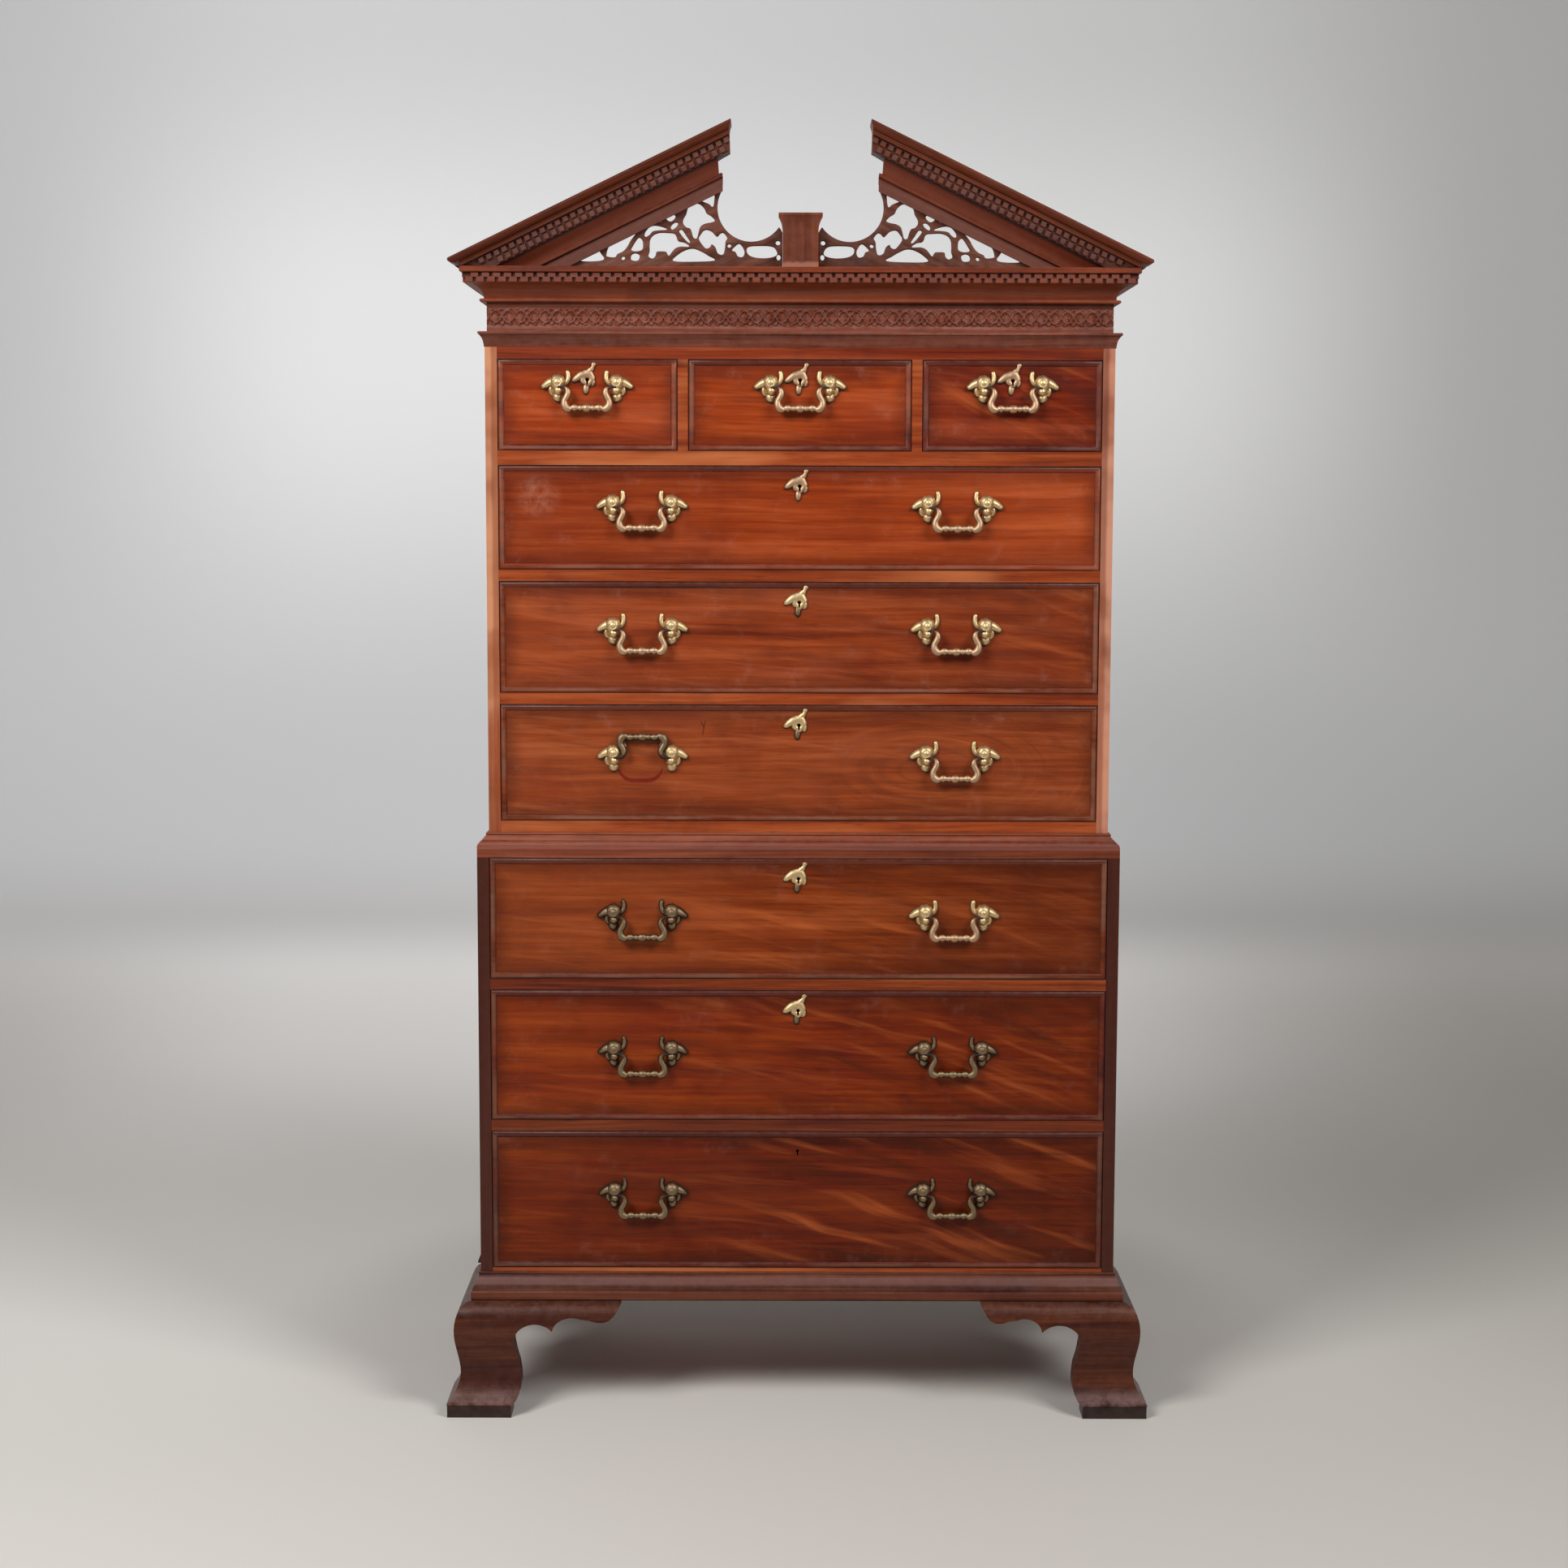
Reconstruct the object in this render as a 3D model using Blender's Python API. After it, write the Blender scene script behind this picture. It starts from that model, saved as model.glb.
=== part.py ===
"""Mahogany tallboy: a chest-on-chest with a broken, pierced pediment.

Metres, +Z up, front towards -Y. The origin is on the floor, at the middle of the overall plan.
Left and right are as seen from the front, so left is -X.
"""
import math

import bmesh
import bpy
from mathutils import Matrix

# Fits
GAP = 0.0003                  # between pieces that are glued or rest on each other
DRAWER_CLEAR = 0.0012         # above and beside a drawer in its opening
STOP_CLEAR = 0.012            # behind a closed drawer
EMBED = 0.001                 # how far a fused piece reaches into what carries it

# Boards
SIDE = 0.0205                 # thickness of the chests' sides
BOARD = 0.0195                # thickness of rails, tops and bottoms
TOP_ROW_RAIL = 0.0242         # the rail that houses the partitions
BACK = 0.010
RAIL_DEPTH = 0.060            # the solid front part of a drawer rail
DUST_BOARD = 0.009
PARTITION = 0.0175
PARTITION_X = 0.1985

# Lower chest
LOWER_HALF = 0.5522
LOWER_DEPTH = 0.550
FOOT_HEIGHT = 0.197
BASE_FRAME = 0.0355           # height of the frame under the lower bottom board
BASE_FRAME_WIDTH = 0.050
BASE_TOP = 0.048              # height of the base moulding above the feet
BASE_REACH = 0.016

# Upper chest
UPPER_SETBACK = 0.019         # from the lower chest's front and sides
UPPER_FOOT = 0.0227           # space under the upper bottom board
FRIEZE_SETBACK = 0.0047       # from the upper chest's front
FRIEZE_SIDE_SETBACK = 0.0034
FRIEZE_BOARD = 0.025
NECK_HEIGHT = 0.0254
NECK_REACH = 0.0143
TOP_RAIL = 0.0196             # from the top row's opening up to the neck moulding
FRIEZE_HEIGHT = 0.0490        # carved stretch between neck moulding and cornice
CORNICE_HEIGHT = 0.0573
CORNICE_REACH = 0.041
DENTIL_GROUND = 0.0325

# Drawers: height of each opening, and the drop from its top to the handles
TOP_ROW_HEIGHT = 0.1541
TOP_ROW_DROP = 0.0478
LONG_1_HEIGHT = 0.1772
LONG_1_DROP = 0.0710
LONG_2_HEIGHT = 0.1908
LONG_2_DROP = 0.0828
LONG_3_HEIGHT = 0.2011
LONG_3_DROP = 0.0905
LONG_4_HEIGHT = 0.2105
LONG_4_DROP = 0.1008
LONG_5_HEIGHT = 0.2285
LONG_5_DROP = 0.1093
LONG_6_HEIGHT = 0.2434
LONG_6_DROP = 0.1113
FRONT = 0.020
BEAD_WIDTH = 0.010
BEAD_REACH = 0.003
BOX_WALL = 0.010
BOX_BOTTOM = 0.008
BOX_TOP_CLEAR = 0.006

# Handles
LONG_HANDLE_X = 0.268         # from a long drawer's middle to each of its two handles
BOSS_X = 0.0495               # from a handle's middle to each boss
PIVOT_REACH = 0.015           # from a drawer front out to the bail's axis
PIN_RADIUS = 0.0017
PIN_CLEAR = 0.0004
BOSS_RADIUS = 0.0125
BOSS_HEIGHT = 0.0195
BOSS_RISE = 0.005             # the boss's middle above the bail's axis
PLATE = 0.003
LEAF_UNIT = 0.001             # one division of the leaf plates' drawings
BAIL_LEAN = 8.0               # degrees past plumb, towards the drawer front
RAISED_BAIL = "long_3_left"   # the one that stands raised

# Keyholes
BARE_KEYHOLE = "long_6"       # the drawer without an escutcheon
KEYHOLE_DROP = 0.035
KEYHOLE_RADIUS = 0.0026
KEYHOLE_SLOT = 0.0085
KEYHOLE_DEPTH = 0.008

# Ogee bracket feet: reach out from the lower chest's side, and heights
OGEE_TOP = 0.020
OGEE_SWELL = 0.0435
OGEE_SWELL_Z = 0.150
OGEE_HOLLOW = 0.0330
OGEE_HOLLOW_Z = 0.074
PAD_REACH = 0.0563
PAD_HEIGHT = 0.0235
PAD_WIDTH = 0.1125
BRACKET_INNER = 0.004
FRONT_WING = 0.246            # from the chest's corner to a bracket's tip
SIDE_WING = 0.212
REAR_SHIFT = 0.042            # a rear foot's scroll stands further from the corner
CORNER_BLOCK = 0.050
OGEE_STEPS = 4                # facets on each of the ogee's three stretches

# Pediment
EAVE_REACH = 0.0585
EAVE_RISE = 0.0114            # eave tip above the cornice
RAKE_INNER_X = 0.1165         # tip of each raking cornice
RIDGE_RISE = 0.2399           # inner tips of the raking cornices above the level one
FRET_BOARD = 0.014
FRET_DEPTH_ON_RAKE = 0.0830   # from the rake's top line square down to the fret board
HOOP_X = 0.083
HOOP_RISE = 0.1019
HOOP_RADIUS = 0.057
PLINTH_HALF = 0.030
PLINTH_CAP_HALF = 0.037
PLINTH_HEIGHT = 0.0902
PLINTH_REACH = 0.022
FRET_CORNER_X = 0.1375        # where the fret board's sloping edge meets the hoop
FRET_UNIT = 0.001             # one division of the fret's drawing
FRET_DRAWN_REACH = 0.420      # half width of the board that the fret was drawn for
FRET_DRAWN_HEIGHT = 0.1372    # height of that board where it meets the hoop
FRET_BLEND = 0.010            # stretch beyond the hoop where the drawing starts to follow the board
CURVE_STEPS = 14

# The drawers of each chest, from the top down
TOP_ROW = ("short_left", "short_middle", "short_right")
UPPER_DRAWERS = (
    ("long_1", LONG_1_HEIGHT, LONG_1_DROP),
    ("long_2", LONG_2_HEIGHT, LONG_2_DROP),
    ("long_3", LONG_3_HEIGHT, LONG_3_DROP),
)
LOWER_DRAWERS = (
    ("long_4", LONG_4_HEIGHT, LONG_4_DROP),
    ("long_5", LONG_5_HEIGHT, LONG_5_DROP),
    ("long_6", LONG_6_HEIGHT, LONG_6_DROP),
)

# Levels, from the floor up
lower_bottom = FOOT_HEIGHT + BASE_FRAME
lower_floor = lower_bottom + BOARD
waist = lower_floor + LONG_6_HEIGHT + LONG_5_HEIGHT + LONG_4_HEIGHT + 2 * BOARD
waist_top = waist + BOARD
upper_bottom = waist_top + UPPER_FOOT
upper_floor = upper_bottom + BOARD
upper_long_top = upper_floor + LONG_3_HEIGHT + LONG_2_HEIGHT + LONG_1_HEIGHT + 2 * BOARD
top_row_floor = upper_long_top + TOP_ROW_RAIL
top_row_top = top_row_floor + TOP_ROW_HEIGHT
neck = top_row_top + TOP_RAIL
neck_top = neck + NECK_HEIGHT
cornice_bottom = neck_top + FRIEZE_HEIGHT
cornice_top = cornice_bottom + CORNICE_HEIGHT

# Planes, from front to back
back_y = (LOWER_DEPTH + PAD_REACH) / 2
lower_front = back_y - LOWER_DEPTH
upper_front = lower_front + UPPER_SETBACK
frieze_front = upper_front + FRIEZE_SETBACK
plank_back = frieze_front + FRIEZE_BOARD
panel_front = back_y - BACK
upper_half = LOWER_HALF - UPPER_SETBACK
frieze_half = upper_half - FRIEZE_SIDE_SETBACK
rake_slope = (RIDGE_RISE - EAVE_RISE) / (frieze_half + EAVE_REACH - RAKE_INNER_X)
lower_inner = LOWER_HALF - SIDE
upper_inner = upper_half - SIDE

parts = None
cutters = None


def clear_scene():
    """Remove every object, and make one collection for the parts and one for the cutters."""
    global parts, cutters
    for old in list(bpy.data.objects):
        bpy.data.objects.remove(old, do_unlink=True)
    parts = bpy.data.collections.new("tallboy")
    cutters = bpy.data.collections.new("cutters")
    bpy.context.scene.collection.children.link(parts)
    bpy.context.scene.collection.children.link(cutters)


def material(name, colour, roughness, metallic=0.0):
    """A Principled material, made once for each name."""
    found = bpy.data.materials.get(name)
    if found:
        return found
    made = bpy.data.materials.new(name)
    made.use_nodes = True
    shader = made.node_tree.nodes["Principled BSDF"]
    shader.inputs["Base Color"].default_value = (*colour, 1.0)
    shader.inputs["Roughness"].default_value = roughness
    shader.inputs["Metallic"].default_value = metallic
    made.diffuse_color = (*colour, 1.0)
    return made


def mahogany():
    return material("mahogany", (0.22, 0.055, 0.022), 0.38)


def drawer_mahogany():
    return material("drawer_mahogany", (0.27, 0.065, 0.022), 0.35)


def dark_mahogany():
    return material("dark_mahogany", (0.12, 0.035, 0.022), 0.45)


def drawer_lining():
    return material("drawer_lining", (0.45, 0.30, 0.16), 0.6)


def brass():
    return material("brass", (0.62, 0.48, 0.26), 0.35, 1.0)


def place(name, data, finish, group=None):
    """Put a mesh or curve into the scene as one named object."""
    made = bpy.data.objects.new(name, data)
    (group or parts).objects.link(made)
    if finish and not data.materials:
        data.materials.append(finish)
    if group is cutters:
        made.hide_render = True
        made.display_type = "WIRE"
    return made


def mesh_from(name, bm):
    """Turn a bmesh into a mesh whose faces all point out."""
    bmesh.ops.recalc_face_normals(bm, faces=bm.faces)
    mesh = bpy.data.meshes.new(name)
    bm.to_mesh(mesh)
    bm.free()
    return mesh


def smooth(thing, angle=30.0):
    """Shade a mesh object smooth, with sharp edges where its faces turn by more than an angle."""
    thing.data.shade_smooth()
    thing.data.set_sharp_from_angle(angle=math.radians(angle))
    return thing


def board_mesh(name, low, high):
    """A box between two corners."""
    size = [b - a for a, b in zip(low, high)]
    middle = [(a + b) / 2 for a, b in zip(low, high)]
    bm = bmesh.new()
    bmesh.ops.create_cube(bm, size=1.0, matrix=Matrix.Translation(middle) @ Matrix.Diagonal((*size, 1.0)))
    return mesh_from(name, bm)


def board(name, low, high, finish, group=None):
    return place(name, board_mesh(name, low, high), finish, group)


def loft_mesh(name, rings):
    """A closed skin through rings of equal count, with the first and the last ring filled."""
    bm = bmesh.new()
    loops = [[bm.verts.new(point) for point in ring] for ring in rings]
    for lower, upper in zip(loops, loops[1:]):
        for i in range(len(lower)):
            j = (i + 1) % len(lower)
            bm.faces.new((lower[i], lower[j], upper[j], upper[i]))
    bm.faces.new(loops[0])
    bm.faces.new(loops[-1])
    return mesh_from(name, bm)


def moulding_mesh(name, profile, half, front, back, side_gap=0.0):
    """A profile of (reach, height) points, carried round left side, front and right side with mitres."""
    rings = []
    for side, y in ((-1, back), (-1, None), (1, None), (1, back)):
        rings.append([(side * (half + side_gap + p), front - p if y is None else y, z) for p, z in profile])
    return loft_mesh(name, rings)


def outline_mesh(name, outlines, thickness):
    """A flat plate in local XY: the first outline is its edge, the others are holes in it."""
    curve = bpy.data.curves.new(name, "CURVE")
    curve.dimensions = "2D"
    curve.fill_mode = "BOTH"
    curve.extrude = thickness / 2
    for outline in outlines:
        spline = curve.splines.new("POLY")
        spline.points.add(len(outline) - 1)
        for point, (u, v) in zip(spline.points, outline):
            point.co = (u, v, 0.0, 1.0)
        spline.use_cyclic_u = True
    temporary = bpy.data.objects.new(name, curve)
    bpy.context.scene.collection.objects.link(temporary)
    graph = bpy.context.evaluated_depsgraph_get()
    mesh = bpy.data.meshes.new_from_object(temporary.evaluated_get(graph))
    bpy.data.objects.remove(temporary, do_unlink=True)
    bpy.data.curves.remove(curve)
    bm = bmesh.new()
    bm.from_mesh(mesh)
    bmesh.ops.remove_doubles(bm, verts=bm.verts, dist=0.00001)
    bmesh.ops.recalc_face_normals(bm, faces=bm.faces)
    bm.to_mesh(mesh)
    bm.free()
    return mesh


def stand_up(mesh, y_low, y_high, facing="front"):
    """Turn a flat plate upright: facing front its outline is (x, z), facing side it is (y, z)."""
    turn = Matrix.Rotation(math.radians(90), 4, "X")
    if facing == "side":
        turn = Matrix.Rotation(math.radians(90), 4, "Z") @ turn
        shift = Matrix.Translation(((y_low + y_high) / 2, 0, 0))
    else:
        shift = Matrix.Translation((0, (y_low + y_high) / 2, 0))
    mesh.transform(shift @ turn)
    return mesh


def upright(name, outlines, low, high, facing="front"):
    """A plate between two depths, with its outlines in (x, z), or in (y, z) when it faces a side."""
    return stand_up(outline_mesh(name, outlines, high - low), low, high, facing)


def combine(thing, tool, operation):
    """Cut a tool out of a thing, or fuse it on."""
    step = thing.modifiers.new(tool.name, "BOOLEAN")
    step.operation = operation
    step.solver = "EXACT"
    step.object = tool
    return thing


def arc(centre, radii, start, end, steps):
    """Points along an ellipse's arc, angles in degrees, both ends included."""
    turns = [math.radians(start + (end - start) * i / steps) for i in range(steps + 1)]
    return [(centre[0] + radii[0] * math.cos(t), centre[1] + radii[1] * math.sin(t)) for t in turns]


# Carcases

def chest_sides():
    """The sides of both chests. The upper ones step in for the frieze and are notched for its board."""
    for side, word in ((-1, "left"), (1, "right")):
        inner = side * lower_inner
        outer = side * LOWER_HALF
        low = (min(inner, outer), lower_front, lower_bottom + GAP)
        high = (max(inner, outer), back_y, waist - GAP)
        board("lower_" + word + "_side", low, high, mahogany())
        outline = [
            (side * upper_inner, waist_top + GAP), (side * upper_half, waist_top + GAP),
            (side * upper_half, neck), (side * frieze_half, neck),
            (side * frieze_half, cornice_top), (side * upper_inner, cornice_top),
        ]
        name = "upper_" + word + "_side"
        made = place(name, upright(name, [outline], upper_front, back_y), mahogany())
        low = (min(side * upper_inner, side * upper_half) - EMBED, upper_front - EMBED, neck)
        high = (max(side * upper_inner, side * upper_half) + EMBED, plank_back + GAP, cornice_top + EMBED)
        combine(made, board(name + "_notch", low, high, None, cutters), "DIFFERENCE")


def boards_and_backs():
    """Bottom boards, the upper chest's top board, and the backs, all housed between the sides."""
    wide = lower_inner - GAP
    low = (-wide, lower_front, lower_bottom + GAP)
    board("lower_bottom_board", low, (wide, back_y, lower_floor), mahogany())
    low = (-wide, panel_front, lower_floor + GAP)
    board("lower_back_panel", low, (wide, back_y, waist - GAP), drawer_lining())
    wide = upper_inner - GAP
    low = (-wide, upper_front, upper_bottom)
    board("upper_bottom_board", low, (wide, back_y, upper_floor), mahogany())
    low = (-wide, panel_front, upper_floor + GAP)
    board("upper_back_panel", low, (wide, back_y, cornice_top), drawer_lining())
    low = (-wide, plank_back + GAP, top_row_top)
    board("upper_top_board", low, (wide, panel_front - GAP, top_row_top + BOARD), drawer_lining())


def rail(name, half, front, top, thickness):
    """A drawer rail: a solid front part with a thin dust board behind it, level at the top."""
    back = panel_front - GAP
    step = front + RAIL_DEPTH
    outline = [
        (front, top - thickness), (step, top - thickness), (step, top - DUST_BOARD),
        (back, top - DUST_BOARD), (back, top), (front, top),
    ]
    wide = half - GAP
    return place(name, upright(name, [outline], -wide, wide, "side"), mahogany())


def rails():
    """The rails between the drawers. The top one carries the two partitions of the row of short drawers."""
    level = top_row_floor
    top = rail("upper_rail_1", upper_inner, upper_front, level, TOP_ROW_RAIL)
    for side, word in ((-1, "left"), (1, "right")):
        x = side * PARTITION_X
        low = (x - PARTITION / 2, upper_front + GAP, level - EMBED)
        high = (x + PARTITION / 2, panel_front - STOP_CLEAR, top_row_top - GAP)
        combine(top, board("partition_" + word, low, high, None, cutters), "UNION")
    level = upper_floor + LONG_3_HEIGHT + BOARD
    rail("upper_rail_3", upper_inner, upper_front, level, BOARD)
    rail("upper_rail_2", upper_inner, upper_front, level + LONG_2_HEIGHT + BOARD, BOARD)
    level = lower_floor + LONG_6_HEIGHT + BOARD
    rail("lower_rail_2", lower_inner, lower_front, level, BOARD)
    rail("lower_rail_1", lower_inner, lower_front, level + LONG_5_HEIGHT + BOARD, BOARD)


def waist_profile():
    """The moulding that hides the foot of the upper chest, as (reach, height)."""
    inner = -UPPER_SETBACK + GAP
    rise = UPPER_FOOT
    z = waist_top
    return [
        (inner, z - EMBED), (-0.0005, z - EMBED), (-0.0005, z + 0.0020), (-0.0040, z + 0.22 * rise),
        (-0.0095, z + 0.42 * rise), (-0.0130, z + 0.66 * rise), (-0.0160, z + 0.84 * rise),
        (-0.0172, z + 0.90 * rise), (-0.0172, z + rise), (inner, z + rise),
    ]


def lower_top():
    """The lower chest's top board, with the waist moulding glued round its edge."""
    low = (-LOWER_HALF, lower_front, waist)
    made = board("lower_top_board", low, (LOWER_HALF, back_y, waist_top), mahogany())
    mesh = moulding_mesh("waist_moulding", waist_profile(), LOWER_HALF, lower_front, back_y - EMBED)
    combine(made, place("waist_moulding", mesh, None, cutters), "UNION")


def base_moulding():
    """The frame under the lower chest, with the ogee moulding round its edge."""
    z = FOOT_HEIGHT
    r = BASE_REACH
    profile = [
        (-BASE_FRAME_WIDTH, z), (r, z), (r, z + 0.0145), (0.88 * r, z + 0.0165), (0.72 * r, z + 0.0250),
        (0.48 * r, z + 0.0330), (0.22 * r, z + 0.0395), (0.14 * r, z + 0.0425), (0.14 * r, z + BASE_TOP),
        (GAP, z + BASE_TOP), (GAP, lower_bottom), (-BASE_FRAME_WIDTH, lower_bottom),
    ]
    mesh = moulding_mesh("base_moulding", profile, LOWER_HALF, lower_front, back_y)
    smooth(place("base_moulding", mesh, mahogany()))


# Feet

def ogee_reach(z):
    """How far a foot swells out at a height: a parabola, a cosine and a quarter ellipse, end to end."""
    if z <= PAD_HEIGHT:
        return PAD_REACH
    if z <= OGEE_HOLLOW_Z:
        t = (OGEE_HOLLOW_Z - z) / (OGEE_HOLLOW_Z - PAD_HEIGHT)
        return OGEE_HOLLOW + (PAD_REACH - OGEE_HOLLOW) * t * t
    if z <= OGEE_SWELL_Z:
        t = (z - OGEE_HOLLOW_Z) / (OGEE_SWELL_Z - OGEE_HOLLOW_Z)
        return OGEE_HOLLOW + (OGEE_SWELL - OGEE_HOLLOW) * (1 - math.cos(math.pi * t)) / 2
    t = (z - OGEE_SWELL_Z) / (FOOT_HEIGHT - OGEE_SWELL_Z)
    return OGEE_TOP + (OGEE_SWELL - OGEE_TOP) * math.sqrt(max(0.0, 1 - t * t))


def ogee_profile():
    """The closed section of a foot's bracket, as (reach, height)."""
    top = FOOT_HEIGHT - GAP
    knots = (PAD_HEIGHT, OGEE_HOLLOW_Z, OGEE_SWELL_Z, top)
    heights = [0.0]
    for low, high in zip(knots, knots[1:]):
        heights += [low + (high - low) * step / OGEE_STEPS for step in range(OGEE_STEPS)]
    heights.append(top)
    section = [(ogee_reach(z), z) for z in heights]
    return section + [(BRACKET_INNER, top), (BRACKET_INNER, 0.0)]


def scroll(wing, shift=0.0):
    """The sawn edge under a bracket, as (distance from the corner, height), from the pad to the wing's tip.

    An S up the leg, a round arch, a cusp, a second arch and a wave to the tip.
    """
    pad_end = PAD_WIDTH - PAD_REACH
    throat = 0.060
    cusp = 0.1267
    stretch = (wing - cusp) / (FRONT_WING - cusp)
    leg = [(pad_end, -EMBED), (pad_end, PAD_HEIGHT), (0.065, 0.030), (0.0722, 0.056), (0.0690, 0.090),
           (0.0618, 0.114)]
    first = arc((0.097, 0.131), (0.097 - throat, 0.031), 180, 37, 6)
    second = arc((0.161, 0.148), (0.034, 0.025), 175, 65, 4)
    wave = [(0.203, 0.166), (0.227, 0.168), (0.236, 0.180), (FRONT_WING, FOOT_HEIGHT + EMBED)]
    far = [(cusp + (d - cusp) * stretch, z) for d, z in second + wave]
    return [(d + shift, z) for d, z in leg + first + far]


def scroll_cutter(name, corner, direction, wing, low, high, facing, shift=0.0):
    """What the saw takes away under one bracket, from its scroll down to below the floor."""
    edge = scroll(wing, shift)
    beyond = edge[-1][0] + 0.05
    edge += [(beyond, FOOT_HEIGHT + EMBED), (beyond, -EMBED)]
    outline = [(corner + direction * d, z) for d, z in edge]
    return place(name, upright(name, [outline], low, high, facing), None, cutters)


def bracket_ring(x, y, side):
    """One cross-section of a foot: at its mitred corner, or at the end of a wing."""
    ring = []
    for reach, z in ogee_profile():
        px = side * (LOWER_HALF + reach) if x is None else x
        py = lower_front - reach if y is None else y
        ring.append((px, py, z))
    return ring


def front_foot(side, word):
    """A front foot: two ogee brackets mitred at the corner, on a block glued behind them."""
    name = "front_" + word + "_foot"
    tip_x = side * (LOWER_HALF - FRONT_WING)
    tip_y = lower_front + SIDE_WING
    rings = [bracket_ring(x, y, side) for x, y in ((tip_x, None), (None, None), (None, tip_y))]
    foot = place(name, loft_mesh(name, rings), dark_mahogany())
    reach = PAD_REACH + EMBED
    cutter = scroll_cutter(name + "_front_scroll", side * LOWER_HALF, -side, FRONT_WING,
                           lower_front - reach, lower_front, "front")
    combine(foot, cutter, "DIFFERENCE")
    outer = side * (LOWER_HALF + reach)
    inner = side * LOWER_HALF
    cutter = scroll_cutter(name + "_side_scroll", lower_front, 1, SIDE_WING,
                           min(outer, inner), max(outer, inner), "side")
    combine(foot, cutter, "DIFFERENCE")
    near = side * (LOWER_HALF + BRACKET_INNER + EMBED)
    far = side * (LOWER_HALF - CORNER_BLOCK)
    low = (min(near, far), lower_front - BRACKET_INNER - EMBED, EMBED)
    high = (max(near, far), lower_front + CORNER_BLOCK, FOOT_HEIGHT - EMBED)
    combine(foot, board(name + "_block", low, high, None, cutters), "UNION")
    smooth(foot)


def rear_foot(side, word):
    """A rear foot: an ogee bracket along the side, and a plain board across the back."""
    name = "rear_" + word + "_foot"
    wing = SIDE_WING + REAR_SHIFT
    rings = [bracket_ring(None, back_y - wing, side), bracket_ring(None, back_y, side)]
    foot = place(name, loft_mesh(name, rings), dark_mahogany())
    outer = side * (LOWER_HALF + PAD_REACH + EMBED)
    inner = side * LOWER_HALF
    cutter = scroll_cutter(name + "_side_scroll", back_y, -1, SIDE_WING,
                           min(outer, inner), max(outer, inner), "side", REAR_SHIFT)
    combine(foot, cutter, "DIFFERENCE")
    edge = [(d, z) for d, z in scroll(SIDE_WING) if z > PAD_HEIGHT]
    outline = [(-BRACKET_INNER - EMBED, EMBED), (edge[0][0], EMBED)] + edge[:-1]
    outline += [(edge[-1][0], FOOT_HEIGHT - EMBED), (-BRACKET_INNER - EMBED, FOOT_HEIGHT - EMBED)]
    outline = [(side * (LOWER_HALF - d), z) for d, z in outline]
    plain = upright(name + "_back", [outline], back_y - SIDE, back_y - EMBED)
    combine(foot, place(name + "_back", plain, None, cutters), "UNION")
    near = side * (LOWER_HALF + BRACKET_INNER + EMBED)
    far = side * (LOWER_HALF - CORNER_BLOCK)
    low = (min(near, far), back_y - SIDE - CORNER_BLOCK, EMBED)
    high = (max(near, far), back_y - 2 * EMBED, FOOT_HEIGHT - 2 * EMBED)
    combine(foot, board(name + "_block", low, high, None, cutters), "UNION")
    smooth(foot)


# Frieze, cornice and pediment

def frieze():
    """The frieze board in its notch, on the rail over the top drawers, with the neck moulding glued on."""
    z = neck + GAP
    top = neck_top
    out = FRIEZE_SETBACK
    r = NECK_REACH
    low = (-frieze_half, frieze_front, z)
    made = board("frieze", low, (frieze_half, plank_back, cornice_top), dark_mahogany())
    wide = upper_inner - GAP
    low = (-wide, upper_front, top_row_top)
    combine(made, board("top_rail", low, (wide, plank_back - GAP, z + EMBED), None, cutters), "UNION")
    profile = [
        (-EMBED, z), (out, z), (out + 0.08 * (r - out), z + 0.0060), (out + 0.25 * (r - out), z + 0.0130),
        (out + 0.60 * (r - out), z + 0.0185), (r - 0.0010, z + 0.0205), (r, z + 0.0210), (r, top),
        (-EMBED, top),
    ]
    mesh = moulding_mesh("neck_moulding", profile, frieze_half, frieze_front, back_y, EMBED + GAP)
    combine(made, place("neck_moulding", mesh, None, cutters), "UNION")


def cornice():
    """The level cornice: bead, cove, dentil band and fascia, with the eave's return along each side."""
    z = cornice_bottom
    top = cornice_top
    cove = arc((DENTIL_GROUND - 0.001, z + 0.0062), (DENTIL_GROUND - 0.0048, 0.0246), 180, 90, 6)
    profile = [(GAP, z), (0.0085, z), (0.0105, z + 0.0016), (0.0105, z + 0.0042), (0.0085, z + 0.0056)]
    profile += cove
    profile += [(DENTIL_GROUND, z + 0.0312), (DENTIL_GROUND, top - 0.0098), (CORNICE_REACH, top - 0.0088),
                (CORNICE_REACH, top), (GAP, top)]
    mesh = moulding_mesh("cornice", profile, frieze_half, frieze_front, back_y)
    made = place("cornice", mesh, dark_mahogany())
    rear = frieze_front + FRET_BOARD + GAP
    for side, word in ((-1, "left"), (1, "right")):
        rise = EAVE_RISE
        eave = [(GAP, top - EMBED), (CORNICE_REACH - EMBED, top - EMBED),
                (CORNICE_REACH + 0.0020, top + 0.02 * rise), (EAVE_REACH - 0.0080, top + 0.15 * rise),
                (EAVE_REACH - 0.0035, top + 0.40 * rise), (EAVE_REACH - 0.0020, top + 0.66 * rise),
                (EAVE_REACH, top + 0.72 * rise), (EAVE_REACH, top + rise), (GAP, top + rise)]
        outline = [(side * (frieze_half + p), z) for p, z in eave]
        name = "eave_return_" + word
        tool = place(name, upright(name, [outline], rear, back_y - EMBED), None, cutters)
        combine(made, tool, "UNION")
    smooth(made)


def rake_top(x):
    """Height of the raking cornice's top line at a distance from the centre line."""
    return cornice_top + RIDGE_RISE - (x - RAKE_INNER_X) * rake_slope


def rake_drop(depth):
    """Vertical distance under the top line of a line that lies a depth square below it."""
    return depth * math.hypot(1.0, rake_slope)


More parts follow.
